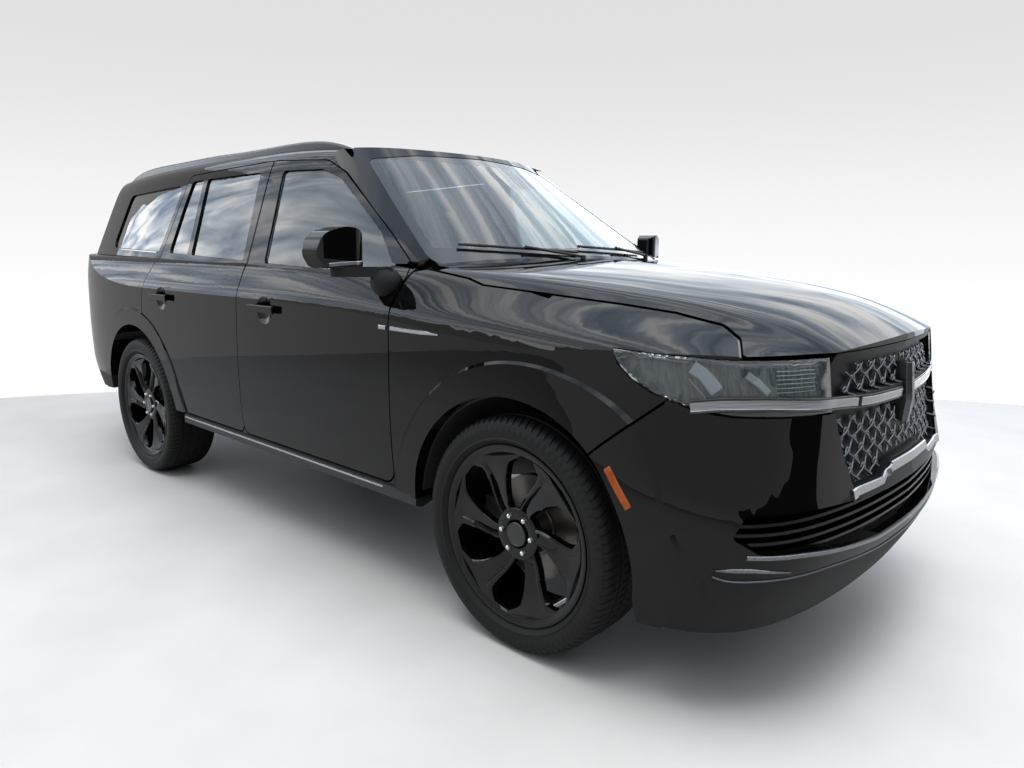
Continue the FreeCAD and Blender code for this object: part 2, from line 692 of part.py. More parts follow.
def gate_zone(front_x, low_depth_x, clearance):
    """Behind this x at the roof, and no deeper than the wall below the belt."""
    high = box(FAR_X0, front_x - clearance, -FAR_Y, 0, BELT_Z - 31.0, FAR_Z)
    low = box(FAR_X0, low_depth_x - clearance, -FAR_Y, 0, 300.0, BELT_Z - 31.0)
    return high.fuse(low)


gate_plug = rear_plug(GATE_OUTLINE, GATE_RADII, half_gap, rx(-700.0))
gate_zone_open = gate_zone(GATE_TOP_X + PANEL_GAP, CABIN_REAR_X, 0)
liftgate = shell.common(rear_plug(GATE_OUTLINE, GATE_RADII, -half_gap, rx(-700.0)))
liftgate = liftgate.common(gate_zone(GATE_TOP_X, CABIN_REAR_X - 10.0, 0))
tail_zone = box(FAR_X0, CABIN_REAR_X, -FAR_Y, 0, 300.0, FAR_Z)
tail_slab = box(FAR_X0, CABIN_REAR_X - 10.0, -FAR_Y, 0, 300.0, FAR_Z)
tailgate_plug = rear_plug(TAILGATE_OUTLINE, TAILGATE_RADII, half_gap, rx(-700.0))
tailgate = shell.common(rear_plug(TAILGATE_OUTLINE, TAILGATE_RADII, -half_gap, rx(-700.0)))
tailgate = tailgate.common(tail_slab)
gate_hinge = shell.common(right_box(GATE_TOP_X - 25.0, GATE_TOP_X + PANEL_GAP - FIT_GAP, 300.0, 380.0,
                                    ROOF_Z - 120.0, ROOF_Z - 45.0))
liftgate = liftgate.fuse(gate_hinge)


def skin_layer(outer, inner):
    """Layer of the lower body between two depths under its skin."""
    return shifted(skirt, outer, outer, 0).cut(shifted(skirt, inner, inner, 0))


TAILGATE_HINGE_Y = 520.0
TAILGATE_HINGE_HALF = 40.0
TAILGATE_POCKET_GAP = 6.0
tailgate_hinge = right_box(FAR_X0, CABIN_REAR_X, TAILGATE_HINGE_Y - TAILGATE_HINGE_HALF,
                           TAILGATE_HINGE_Y + TAILGATE_HINGE_HALF, REAR_BUMPER_TOP_Z + FIT_GAP,
                           TAILGATE_BOTTOM_Z + 20.0).common(skin_layer(22.0, 60.0))
pocket_half = TAILGATE_HINGE_HALF + TAILGATE_POCKET_GAP
tailgate_pocket = right_box(FAR_X0, CABIN_REAR_X, TAILGATE_HINGE_Y - pocket_half,
                            TAILGATE_HINGE_Y + pocket_half, REAR_BUMPER_TOP_Z - 1.0,
                            TAILGATE_BOTTOM_Z + 20.0 + TAILGATE_POCKET_GAP)
tailgate_pocket = tailgate_pocket.common(skin_layer(22.0 - TAILGATE_POCKET_GAP, 60.0 + TAILGATE_POCKET_GAP))
tailgate = tailgate.fuse(tailgate_hinge)
shell = shell.cut(tailgate_pocket)
shell = shell.cut(gate_plug.common(gate_zone_open)).cut(tailgate_plug.common(tail_zone))
backlight_prism = pane_prism(BACKLIGHT_OUTLINE, BACKLIGHT_RADII, 0, REAR_END_X - 100.0, rx(-700.0))
liftgate = liftgate.cut(backlight_prism)
liftgate_glass = backlight_layer(6.0, GLASS_THICK).common(
    pane_prism(BACKLIGHT_OUTLINE, BACKLIGHT_RADII, FIT_GAP, REAR_END_X - 100.0, rx(-700.0)))

# Front clip: everything ahead of the cowl
HOOD_REAR_X = fx(-352.0)
HOOD_REAR_BOW = 2.3e-4
HOOD_LINE = [(fx(-560.0), 1313.0), (fx(-358.0), 1282.0), (fx(-279.0), 1261.0), (fx(254.0), 1213.0),
             (fx(424.0), 1195.0), (fx(578.0), 1166.0), (fx(652.0), 1133.0), (fx(709.0), 1092.0)]
HOOD_LINE_RADII = [0, 0, 0, 0, 200.0, 120.0, 60.0, 40.0]
LAMP_TIP = (fx(374.0), 1102.0)
LAMP_TOP_Z = 1083.0
LAMP_BOTTOM = [(fx(395.0), 1062.0), (fx(440.0), 1020.0), (fx(505.0), 982.0), (fx(618.0), 945.0),
               (fx(703.0), 930.0)]
LAMP_NOSE_BOTTOM_Z = 916.0
BUMPER_CUT = [(fx(328.0), 775.0), (fx(369.0), 813.0), (fx(548.0), 966.0)]
BUMPER_BOTTOM_Z = 268.0
BUMPER_SIDE_BOTTOM_Z = 335.0
NOSE_X = FRONT_END_X + 100.0


def offset_line(points, step):
    """Open line moved up by this much."""
    return [(x, z + step) for x, z in points]


def hood_prism(step):
    lower = offset_line(HOOD_LINE, step) + [(NOSE_X, 1092.0 + step)]
    points = lower + [(NOSE_X, 1500.0), (fx(-560.0), 1500.0)]
    return side_prism(points, HOOD_LINE_RADII + [0, 0, 0], -FAR_Y, 0)


def ahead_of_cowl(step):
    """Plan region ahead of the hood's curved rear edge."""
    reach = HALF_WIDTH + 20.0
    x_side = HOOD_REAR_X + step - HOOD_REAR_BOW * reach * reach
    middle = HOOD_REAR_X + step - HOOD_REAR_BOW * reach * reach / 4
    arc = Part.Arc(Vector(x_side, -reach, 200.0), Vector(middle, -reach / 2, 200.0),
                   Vector(HOOD_REAR_X + step, 0, 200.0)).toShape()
    ring = [arc, Part.makeLine(Vector(HOOD_REAR_X + step, 0, 200.0), Vector(NOSE_X, 0, 200.0)),
            Part.makeLine(Vector(NOSE_X, 0, 200.0), Vector(NOSE_X, -reach, 200.0)),
            Part.makeLine(Vector(NOSE_X, -reach, 200.0), Vector(x_side, -reach, 200.0))]
    return Part.Face(Part.Wire(ring)).extrude(Vector(0, 0, 1600.0))


bay_void = right_box(FIREWALL_X, FRONT_END_X - 200.0, 0, BAY_HALF_WIDTH, 200.0, 1500.0)
bay_void = bay_void.common(shifted(deck, 0, 0, -HOOD_THICK))
bay_void = bay_void.common(shifted(skirt, -70.0, 60.0, 0))
front = lower_body.common(box(DOOR_FRONT_X - 100.0, FAR_X1, -FAR_Y, 0, 200.0, FAR_Z))
front = front.cut(bay_void).cut(front_opening)
front_arch = wheel_cylinder(FRONT_AXLE_X, FRONT_ARCH_RADIUS, FRONT_WHEELHOUSE_Y, FAR_Y)

HOOD_HINGE_DROP = 60.0
hood = front.common(hood_prism(half_gap)).common(ahead_of_cowl(half_gap))
hood_hinge = deck.cut(shifted(deck, 0, 0, -HOOD_HINGE_DROP)).common(
    right_box(fx(-520.0), fx(-400.0), 560.0, 620.0, 0, FAR_Z))
hood_hinge = shifted(hood_hinge, 0, 0, -12.0).common(ahead_of_cowl(-half_gap + FIT_GAP))
hood = hood.fuse(hood_hinge)

FENDER_OUTLINE = (
    [(DOOR_FRONT_X + half_gap, 440.0), (DOOR_FRONT_X + half_gap, SHOULDER_Z),
     (DOOR_FRONT_X + 8.0 + half_gap, BELT_Z - 20.0)]
    + offset_line(HOOD_LINE, -half_gap)
    + [(fx(700.0), LAMP_TOP_Z + half_gap), (LAMP_TIP[0] - half_gap, LAMP_TIP[1] + half_gap)]
    + [(x - half_gap, z - half_gap) for x, z in LAMP_BOTTOM[:3]]
    + [(x - half_gap, z + half_gap) for x, z in reversed(BUMPER_CUT)]
    + [(fx(0.0), 440.0)])
FENDER_NOSE_Y = 420.0
fender_prism = side_prism(FENDER_OUTLINE, 0, -FAR_Y, -FENDER_NOSE_Y)
fender_prism = fender_prism.cut(box(FAR_X0, FRONT_AXLE_X, -BAY_HALF_WIDTH - 5.0, 0, 0, FAR_Z))
front_fender = biggest(front.common(fender_prism).cut(front_arch))

LAMP_INNER_Y = 548.0
LAMP_OUTLINE = (
    [LAMP_TIP] + LAMP_BOTTOM + [(NOSE_X, LAMP_NOSE_BOTTOM_Z), (NOSE_X, LAMP_TOP_Z),
                                (fx(700.0), LAMP_TOP_Z)])
lamp_depth = shifted(skirt, -95.0, 85.0, 0)
lamp_prism = side_prism(LAMP_OUTLINE, 0, -FAR_Y, -LAMP_INNER_Y)
headlamp = front.common(lamp_prism).cut(lamp_depth)

GRILLE_OUTLINE = [(0.0, 703.0), (-189.0, 703.0), (-254.0, 655.0), (-462.0, 655.0),
                  (-505.0, 800.0), (-530.0, 900.0), (-545.0, 985.0), (-528.0, 1060.0),
                  (-498.0, 1089.0), (0.0, 1089.0)]
GRILLE_RADII = [0, 30.0, 30.0, 30.0, 0, 0, 20.0, 20.0, 25.0, 0]
GRILLE_RECESS = 34.0
GRILLE_THICK = 14.0
GRILLE_FRAME = 16.0
GRILLE_FRAME_RECESS = 8.0
GRILLE_BAR_Z = 925.0
GRILLE_BAR_HEIGHT = 34.0
GRILLE_INNER = [(y, z + (GRILLE_FRAME if z < 800.0 else 0.0) - (GRILLE_FRAME if z > 1050.0 else 0.0))
                for y, z in GRILLE_OUTLINE]
grille_hole = front_prism(GRILLE_OUTLINE, GRILLE_RADII, fx(600.0), NOSE_X)
INTAKE_OUTLINE = [(0.0, 500.0), (-300.0, 500.0), (-560.0, 522.0), (-850.0, 552.0),
                  (-905.0, 600.0), (-872.0, 668.0), (-480.0, 650.0), (-250.0, 636.0), (0.0, 636.0)]
INTAKE_RADII = [0, 0, 0, 30.0, 20.0, 25.0, 0, 0, 0]
intake_hole = front_prism(INTAKE_OUTLINE, INTAKE_RADII, fx(500.0), NOSE_X)

BUMPER_OUTLINE = (
    [(x + half_gap, z - half_gap) for x, z in BUMPER_CUT]
    + [(x, z - PANEL_GAP) for x, z in LAMP_BOTTOM[3:]]
    + [(NOSE_X, LAMP_NOSE_BOTTOM_Z - PANEL_GAP), (NOSE_X, BUMPER_BOTTOM_Z),
       (fx(490.0), BUMPER_BOTTOM_Z), (fx(485.0), BUMPER_SIDE_BOTTOM_Z), (fx(300.0), 500.0)])
bumper_prism = side_prism(BUMPER_OUTLINE, 0, -FAR_Y, 0)
bumper_inside = shifted(skirt, -60.0, 50.0, 0)
front_bumper = front.common(bumper_prism).cut(bumper_inside).cut(front_arch)
front_bumper = front_bumper.cut(grille_hole).cut(intake_hole)
INTAKE_DEPTH = 46.0
INTAKE_WALL = 10.0
SLAT_DEPTH = 20.0
SLAT_Z = [540.0, 568.0, 595.0, 622.0]
SLAT_HEIGHT = 9.0


def nose_layer(depth, thickness):
    """Layer of the nose between two depths under its skin, at the corners too."""
    outer = shifted(skirt, -depth, depth, 0)
    return outer.cut(shifted(skirt, -depth - thickness, depth + thickness, 0))


slats = [box(FAR_X0, FAR_X1, -FAR_Y, 0, z, z + SLAT_HEIGHT) for z in SLAT_Z]
slat_layer = nose_layer(SLAT_DEPTH, INTAKE_DEPTH - SLAT_DEPTH + 2.0)
intake_parts = [nose_layer(INTAKE_DEPTH, INTAKE_WALL)]
intake_parts += [slat_layer.common(slat) for slat in slats]
intake_parts = [part.common(intake_hole).common(front) for part in intake_parts]
front_bumper = front_bumper.multiFuse(intake_parts)

grille_inner = front_prism([(y + (GRILLE_FRAME if y < 0 else 0.0), z) for y, z in GRILLE_INNER],
                           GRILLE_RADII, fx(600.0), NOSE_X)
grille_frame = nose_layer(GRILLE_FRAME_RECESS, GRILLE_RECESS + 4.0 - GRILLE_FRAME_RECESS)
grille_bar = grille_frame.common(box(FAR_X0, FAR_X1, -FAR_Y, 0, GRILLE_BAR_Z,
                                     GRILLE_BAR_Z + GRILLE_BAR_HEIGHT)).common(grille_hole)
grille = fused([nose_layer(GRILLE_RECESS, GRILLE_THICK).common(grille_hole),
                grille_frame.common(grille_hole.cut(grille_inner)), grille_bar])

# What stays of the body shell: no front clip, no bumpers, and an open underside
COWL_Z = 1180.0
UNDERBODY_Z = FLOOR_Z - FLOOR_THICK
ROCKER_Y = HALF_WIDTH - 58.0
REAR_BUMPER_FRONT_X = rx(-400.0)
rear_arch = wheel_cylinder(REAR_AXLE_X, REAR_ARCH_RADIUS, REAR_WHEELHOUSE_Y, FAR_Y)
front_clip = box(FIREWALL_X, FAR_X1, -FAR_Y, 0, 0, COWL_Z)
front_clip = front_clip.fuse(box(DOOR_FRONT_X, FAR_X1, -FAR_Y, -BAY_HALF_WIDTH, 0, FAR_Z))
front_clip = front_clip.fuse(ahead_of_cowl(-half_gap).common(
    box(FAR_X0, FAR_X1, -FAR_Y, 0, COWL_Z - 1.0, FAR_Z)))
shell = shell.cut(front_clip).cut(rear_arch)
shell = shell.cut(box(FAR_X0, FAR_X1, -FAR_Y, 0, 0, SILL_Z))
shell = shell.cut(right_box(FAR_X0, FAR_X1, 0, CABIN_HALF_WIDTH - 35.0, 0, UNDERBODY_Z))
shell = shell.cut(right_box(REAR_AXLE_X, FAR_X1, ROCKER_Y, FAR_Y, 0, DOOR_BOTTOM_Z - half_gap))
rear_bumper_zone = box(FAR_X0, REAR_BUMPER_FRONT_X, -FAR_Y, 0, 0, REAR_BUMPER_TOP_Z)
REAR_BUMPER_OUTLINE = [(REAR_BUMPER_FRONT_X, REAR_BUMPER_TOP_Z), (FAR_X0, REAR_BUMPER_TOP_Z),
                       (FAR_X0, 445.0), (rx(-900.0), 430.0), (REAR_BUMPER_FRONT_X, 470.0)]
rear_bumper = lower_body.common(side_prism(REAR_BUMPER_OUTLINE, 0, -FAR_Y, 0))
rear_bumper = rear_bumper.cut(shifted(skirt, 70.0, 60.0, 0)).cut(rear_arch)
behind_bumper = shifted(skirt, 76.0, 66.0, 0)
shell = shell.cut(rear_bumper_zone.cut(behind_bumper))
shell = shell.cut(box(FAR_X0, FAR_X1, -FAR_Y, 0, REAR_BUMPER_TOP_Z - 0.5, TAILGATE_BOTTOM_Z)
                  .common(box(FAR_X0, CABIN_REAR_X, -FAR_Y, 0, 0, FAR_Z))
                  .common(rear_plug(TAILGATE_OUTLINE, TAILGATE_RADII, 12.0, rx(-700.0))))
shell = biggest(shell)

# Tail lamp: a slim bar in the liftgate that wraps into the quarters
LAMP_LOW_Z = 1120.0
LAMP_HIGH_Z = 1172.0
TAIL_LAMP_DEPTH = 26.0
tail_lamp_band = box(FAR_X0, rx(-960.0), -FAR_Y, 0, LAMP_LOW_Z, LAMP_HIGH_Z)
tail_lamp_skin = tail_lamp_band.cut(shifted(skirt, TAIL_LAMP_DEPTH, TAIL_LAMP_DEPTH, 0))
tail_lamp_side = shell.common(tail_lamp_skin)
tail_lamp_side = biggest(tail_lamp_side)
shell = biggest(shell.cut(tail_lamp_skin))
liftgate_lamp = liftgate.common(tail_lamp_skin)
liftgate = liftgate.cut(tail_lamp_skin)

# Door handles, mirrors and the sail at the front corner of the window
HANDLE_LENGTH = 226.0
HANDLE_HEIGHT = 36.0
HANDLE_STAND = 28.0
HANDLE_DISH_RADIUS = 170.0
HANDLE_DISH_DEPTH = 14.0
HANDLE_Z = 1112.0
HANDLE_X = [rx(1465.0), rx(330.0)]


def door_handle(x):
    """Grab handle standing off the door on two feet."""
    skin = side_y(x, HANDLE_Z)
    bar = Part.makeBox(HANDLE_LENGTH, 16.0, HANDLE_HEIGHT,
                       Vector(x, -skin - HANDLE_STAND, HANDLE_Z - HANDLE_HEIGHT / 2))
    bar = bar.makeFillet(6.0, bar.Edges)
    feet = [Part.makeBox(26.0, HANDLE_STAND + 24.0, 20.0,
                         Vector(x + start, -skin - HANDLE_STAND + 6.0, HANDLE_Z - 10.0))
            for start in (8.0, HANDLE_LENGTH - 34.0)]
    return fused([bar] + feet)


def handle_dish(x):
    """Round hollow in the door's skin for the fingers."""
    skin = side_y(x, HANDLE_Z)
    centre = Vector(x + HANDLE_LENGTH / 2, -skin - HANDLE_DISH_RADIUS + HANDLE_DISH_DEPTH, HANDLE_Z)
    return Part.makeSphere(HANDLE_DISH_RADIUS, centre)


front_door = front_door.cut(handle_dish(HANDLE_X[0])).fuse(door_handle(HANDLE_X[0]))
rear_door = rear_door.cut(handle_dish(HANDLE_X[1])).fuse(door_handle(HANDLE_X[1]))

MIRROR_X = fx(-905.0)
MIRROR_Z = 1392.0
MIRROR_INNER_Y = 998.0
MIRROR_OUTER_Y = 1190.0
MIRROR_HALF_HEIGHT = 84.0
MIRROR_DEPTH = 110.0
MIRROR_SWEEP = 75.0
MIRROR_GLASS_EDGE = 9.0
MIRROR_FOOT = Vector(fx(-690.0), -955.0, 1262.0)
MIRROR_FOOT_RADIUS = 60.0


def mirror():
    """Swept-back housing, arm and round foot of the right door mirror, as one solid."""
    low, high = MIRROR_Z - MIRROR_HALF_HEIGHT, MIRROR_Z + MIRROR_HALF_HEIGHT
    points = [(-MIRROR_INNER_Y, low), (-MIRROR_OUTER_Y + 25.0, low + 8.0),
              (-MIRROR_OUTER_Y, low + 60.0), (-MIRROR_OUTER_Y + 22.0, high - 30.0),
              (-MIRROR_INNER_Y - 75.0, high), (-MIRROR_INNER_Y - 8.0, high - 28.0)]
    plan = [(MIRROR_X + MIRROR_SWEEP, -MIRROR_INNER_Y),
            (MIRROR_X + MIRROR_SWEEP + MIRROR_DEPTH, -MIRROR_INNER_Y),
            (MIRROR_X + MIRROR_DEPTH, -MIRROR_OUTER_Y - 5.0), (MIRROR_X, -MIRROR_OUTER_Y - 5.0)]
    head = front_prism(points, [20.0, 30.0, 60.0, 60.0, 90.0, 20.0], MIRROR_X - 50.0,
                       MIRROR_X + MIRROR_SWEEP + MIRROR_DEPTH + 50.0)
    head = head.common(top_prism(plan, [0, 50.0, 60.0, 0], low - 10.0, high + 10.0))
    rim = moved_out(points, [-MIRROR_GLASS_EDGE] * len(points))
    recess = front_prism(rim, [12.0, 22.0, 50.0, 50.0, 80.0, 12.0], MIRROR_X - 50.0,
                         MIRROR_X + MIRROR_SWEEP + 50.0)
    pane_cut = top_prism([(MIRROR_X - 20.0, -MIRROR_OUTER_Y - 5.0), (MIRROR_X + 8.0, -MIRROR_OUTER_Y - 5.0),
                          (MIRROR_X + MIRROR_SWEEP + 8.0, -MIRROR_INNER_Y),
                          (MIRROR_X + MIRROR_SWEEP - 20.0, -MIRROR_INNER_Y)], 0, low - 10.0, high + 10.0)
    head = head.cut(recess.common(pane_cut))
    foot = MIRROR_FOOT
    arm_points = [(MIRROR_X + 60.0, -MIRROR_OUTER_Y + 55.0), (MIRROR_X + 125.0, -MIRROR_OUTER_Y + 70.0),
                  (foot.x + 45.0, foot.y), (foot.x - 45.0, foot.y)]
    arm = top_prism(arm_points, [20.0, 30.0, 0, 0], low - 26.0, low + 12.0)
    return fused([head, arm, ball(foot, MIRROR_FOOT_RADIUS),
                  rod(foot, flattened(foot, "z", low - 4.0), 40.0)])


door_mirror = mirror().cut(shifted(tunnel, 0, -0.3, 0)).cut(front_door)
door_mirror = biggest(door_mirror)

# Roof rails and running boards
RAIL_Y = 655.0
RAIL_WIDTH = 34.0
RAIL_HEIGHT = 60.0
RAIL_STAND = 30.0
BOARD_INNER_Y = 800.0
BOARD_OUTER_Y = 968.0
BOARD_TOP_Z = SILL_Z
BOARD_BOTTOM_Z = 385.0
BOARD_FRONT_X = fx(-520.0)
BOARD_REAR_X = rx(535.0)

# Along each roof rail: place, and how far it stands above the roof
RAIL_LINE = [(rx(-740.0), -8.0), (rx(-660.0), 12.0), (rx(-520.0), RAIL_STAND),
             (rx(0.0), RAIL_STAND + 4.0), (rx(600.0), RAIL_STAND + 4.0),
             (fx(-1900.0), RAIL_STAND + 4.0), (fx(-1480.0), RAIL_STAND), (fx(-1340.0), 12.0),
             (fx(-1260.0), -8.0)]


def roof_height(x, y):
    probe = Part.makeLine(Vector(x, y, ROOF_Z + 100.0), Vector(x, y, BELT_Z))
    return max(v.Point.z for v in probe.common(tunnel).Vertexes)


def roof_rail():
    """Slim rail that stands on the roof and sinks into it at both ends."""
    half = RAIL_WIDTH / 2
    sections = []
    for x, stand in RAIL_LINE:
        top = roof_height(x, -RAIL_Y) + stand
        ring = [(-RAIL_Y - half, top - RAIL_HEIGHT), (-RAIL_Y - half, top),
                (-RAIL_Y + half, top), (-RAIL_Y + half, top - RAIL_HEIGHT)]
        sections.append(wire_from(ring, [0, 12.0, 12.0, 0], front_place(x)))
    return biggest(Part.makeLoft(sections, True, False).cut(tunnel))


def running_board():
    points = [(-BOARD_INNER_Y, BOARD_TOP_Z - 30.0), (-BOARD_INNER_Y, BOARD_TOP_Z),
              (-ROCKER_Y, BOARD_TOP_Z), (-BOARD_OUTER_Y, BOARD_TOP_Z - 12.0),
              (-BOARD_OUTER_Y, BOARD_BOTTOM_Z + 10.0), (-BOARD_OUTER_Y + 30.0, BOARD_BOTTOM_Z)]
    return front_prism(points, [0, 0, 0, 6.0, 8.0, 0], BOARD_REAR_X, BOARD_FRONT_X)


# Wheels
RIM_WIDTH = 250.0
BEAD_RADIUS = 305.0
FLANGE_LEAN = 10.0
HUB_RADIUS = 82.0
HUB_FACE = 96.0
SPINDLE_RADIUS = 32.0
DISC_RADIUS = 190.0
DISC_THICK = 28.0
KINGPIN_Y = 780.0
UPRIGHT_HALF = 18.0
SPINDLE_END_Y = WHEEL_Y + 50.0
DISC_INNER_Y = KINGPIN_Y + UPRIGHT_HALF + 30.0
LUG_RADIUS = 11.0


def revolved(points, radii=0):
    """Solid of revolution about +Y from (distance along Y, radius) points."""
    wire = wire_from(points, radii_of(points, radii), lambda p: Vector(0, p.x, p.y))
    return Part.Face(wire).revolve(Vector(0, 0, 0), Vector(0, 1, 0), 360)


def tyre_solid():
    """Tyre about its own centre; its bore seats on the rim's beads."""
    half = TYRE_WIDTH / 2
    bead = RIM_WIDTH / 2 - 14.0
    bead_r = BEAD_RADIUS + FIT_GAP
    flange_r = RIM_RADIUS + 1.0
    points = [(-bead + 0.4, bead_r), (-bead + 5.4 - FLANGE_LEAN, flange_r),
              (-bead - 12.0, RIM_RADIUS + 4.0),
              (-half, RIM_RADIUS + 44.0), (-half + 12.0, TYRE_RADIUS - 24.0),
              (-half + 34.0, TYRE_RADIUS - 5.0), (-half + 80.0, TYRE_RADIUS), (half - 80.0, TYRE_RADIUS),
              (half - 34.0, TYRE_RADIUS - 5.0), (half - 12.0, TYRE_RADIUS - 24.0),
              (half, RIM_RADIUS + 44.0), (bead + 12.0, RIM_RADIUS + 4.0),
              (bead - 5.4 + FLANGE_LEAN, flange_r), (bead - 0.4, bead_r),
              (bead - 24.0, bead_r), (half - 34.0, TYRE_RADIUS - 40.0),
              (-half + 34.0, TYRE_RADIUS - 40.0), (-bead + 24.0, bead_r)]
    return revolved(points)


def rim_barrel():
    half = RIM_WIDTH / 2
    points = [(-half, RIM_RADIUS), (-half, RIM_RADIUS - 13.0), (-half + 18.0, BEAD_RADIUS - 12.0),
              (half - 18.0, BEAD_RADIUS - 12.0), (half, RIM_RADIUS - 13.0), (half, RIM_RADIUS),
              (half - 9.0, RIM_RADIUS), (half - 14.0, BEAD_RADIUS), (-half + 14.0, BEAD_RADIUS),
              (-half + 9.0, RIM_RADIUS)]
    return revolved(points)


def rim_face():
    """Dished face with one window between each pair of spokes; outboard is -Y."""
    points = [(-HUB_FACE + 20.0, 0.0), (-HUB_FACE, HUB_RADIUS * 0.3), (-HUB_FACE, HUB_RADIUS),
              (-RIM_WIDTH / 2 + 8.0, 200.0), (-RIM_WIDTH / 2 + 4.0, BEAD_RADIUS - 8.0),
              (-RIM_WIDTH / 2 + 34.0, BEAD_RADIUS - 8.0), (-RIM_WIDTH / 2 + 40.0, 200.0),
              (-HUB_FACE + 38.0, HUB_RADIUS), (-HUB_FACE + 38.0, 0.0)]
    disc = revolved(points)
    window = [(96.0, -26.0), (150.0, -66.0), (262.0, -52.0), (272.0, 10.0), (200.0, 62.0),
              (110.0, 26.0)]
    cutter = side_prism(window, 14.0, -RIM_WIDTH, RIM_WIDTH)
    for i in range(SPOKES):
        copy = cutter.copy()
        copy.rotate(Vector(0, 0, 0), Vector(0, 1, 0), (i + 0.5) * 360.0 / SPOKES)
        disc = disc.cut(copy)
    return disc


def rim_solid():
    """Right-hand wheel about its own centre, with hub, brake disc and lug nuts."""
    disc_y = WHEEL_Y - DISC_INNER_Y
    parts = [rim_barrel(), rim_face()]
    parts.append(rod(Vector(0, -HUB_FACE + 20.0, 0), Vector(0, disc_y, 0), HUB_RADIUS - 6.0))
    parts.append(rod(Vector(0, disc_y - DISC_THICK, 0), Vector(0, disc_y, 0), DISC_RADIUS))
    for i in range(STUDS):
        angle = 2 * math.pi * i / STUDS
        at = Vector(math.sin(angle), 0, math.cos(angle)) * (STUD_CIRCLE / 2)
        parts.append(rod(at + Vector(0, -HUB_FACE - 14.0, 0), at + Vector(0, -HUB_FACE + 10.0, 0),
                         LUG_RADIUS))
    bore = rod(Vector(0, WHEEL_Y - SPINDLE_END_Y - 5.0, 0), Vector(0, 100.0, 0),
               SPINDLE_RADIUS + FIT_GAP)
    return fused(parts).cut(bore)


def placed_wheel(shape, axle_x, side):
    """The right wheel, turned about for the left side."""
    copy = shape.copy()
    if side > 0:
        copy.rotate(Vector(0, 0, 0), Vector(0, 0, 1), 180)
    copy.translate(Vector(axle_x, side * WHEEL_Y, AXLE_Z))
    return copy


# Chassis
FRAME_INNER_Y = 395.0
FRAME_OUTER_Y = 462.0
FRAME_TOP_Z = 500.0
FRAME_BOTTOM_Z = 400.0
FRAME_ARCH_Z = 455.0
FRAME_FRONT_X = fx(690.0)
FRAME_REAR_X = rx(-1060.0)
CROSS_RADIUS = 38.0
CROSS_Z = 450.0
CROSS_X = [fx(640.0), fx(210.0), fx(-260.0), fx(-1080.0), rx(1100.0), rx(420.0), rx(-420.0),
           FRAME_REAR_X + 40.0]
MOUNT_X = [FIREWALL_X - 200.0, fx(-1300.0), rx(700.0), rx(-700.0)]
MOUNT_RADIUS = 34.0
HITCH_Z = 392.0
HITCH_OPENING = 51.0
HITCH_WALL = 8.0
HITCH_PIN_RADIUS = 8.0
HITCH_REACH = 125.0
HITCH_DEPTH = 190.0
HITCH_PIN_BACK = 57.0
HITCH_END_X = FRAME_REAR_X - HITCH_REACH

STUD_RADIUS = 10.0
LOWER_ARM_Z = 288.0
UPPER_ARM_Z = 588.0
ARM_THICK = 20.0
ARM_LEG = 26.0
ARM_SPREAD = 150.0
ARM_HOLE_TIP = 42.0
BRACKET_HALF = 30.0
STRUT_AHEAD = 48.0
STRUT_TOP_Y = 540.0
STRUT_LOW_Y = 640.0
STRUT_TOP_Z = 648.0
STRUT_RADIUS = 26.0
TOWER_THICK = 16.0
TOWER_OUTER_Y = 580.0
UPRIGHT_LOW_Z = LOWER_ARM_Z + ARM_THICK + 5.0
UPRIGHT_HIGH_Z = UPPER_ARM_Z - 5.0
CALIPER_GAP = 6.0


def rail_profile():
    low = [(FRAME_FRONT_X, FRAME_ARCH_Z), (fx(-330.0), FRAME_ARCH_Z), (fx(-560.0), FRAME_BOTTOM_Z),
           (rx(560.0), FRAME_BOTTOM_Z), (rx(330.0), FRAME_ARCH_Z), (rx(-330.0), FRAME_ARCH_Z),
           (rx(-500.0), FRAME_BOTTOM_Z), (FRAME_REAR_X, FRAME_BOTTOM_Z)]
    high = [(FRAME_REAR_X, FRAME_TOP_Z), (fx(-560.0), FRAME_TOP_Z), (fx(-330.0), FRAME_TOP_Z + 45.0),
            (FRAME_FRONT_X, FRAME_TOP_Z + 45.0)]
    return low + high


def frame_side():
    """Right rail with its arm brackets, strut tower and body mounts."""
    y0, y1 = FRAME_INNER_Y, FRAME_OUTER_Y
    parts = [side_prism(rail_profile(), 0, -y1, -y0)]
    for x in MOUNT_X:
        foot = Vector(x, -(y0 + y1) / 2, FRAME_TOP_Z - 5.0)
        parts.append(rod(foot, flattened(foot, "z", UNDERBODY_Z), MOUNT_RADIUS))
    for axle_x in (FRONT_AXLE_X, REAR_AXLE_X):
        for x in (axle_x - ARM_SPREAD, axle_x + ARM_SPREAD):
            parts.append(right_box(x - BRACKET_HALF, x + BRACKET_HALF, y0, y1,
                                   LOWER_ARM_Z - 12.0, FRAME_ARCH_Z + 5.0))
    for x in (FRONT_AXLE_X - ARM_SPREAD, FRONT_AXLE_X + ARM_SPREAD):
        parts.append(right_box(x - BRACKET_HALF, x + BRACKET_HALF, y0, y1, FRAME_TOP_Z,
                               STRUT_TOP_Z + TOWER_THICK))
    tower_x = FRONT_AXLE_X + STRUT_AHEAD
    parts.append(right_box(tower_x - 68.0, FRONT_AXLE_X + ARM_SPREAD + BRACKET_HALF, y0, y1,
                           STRUT_TOP_Z, STRUT_TOP_Z + TOWER_THICK))
    parts.append(right_box(tower_x - 68.0, tower_x + 85.0, y1 - 1.0, TOWER_OUTER_Y,
                           STRUT_TOP_Z, STRUT_TOP_Z + TOWER_THICK))
    return fused(parts)


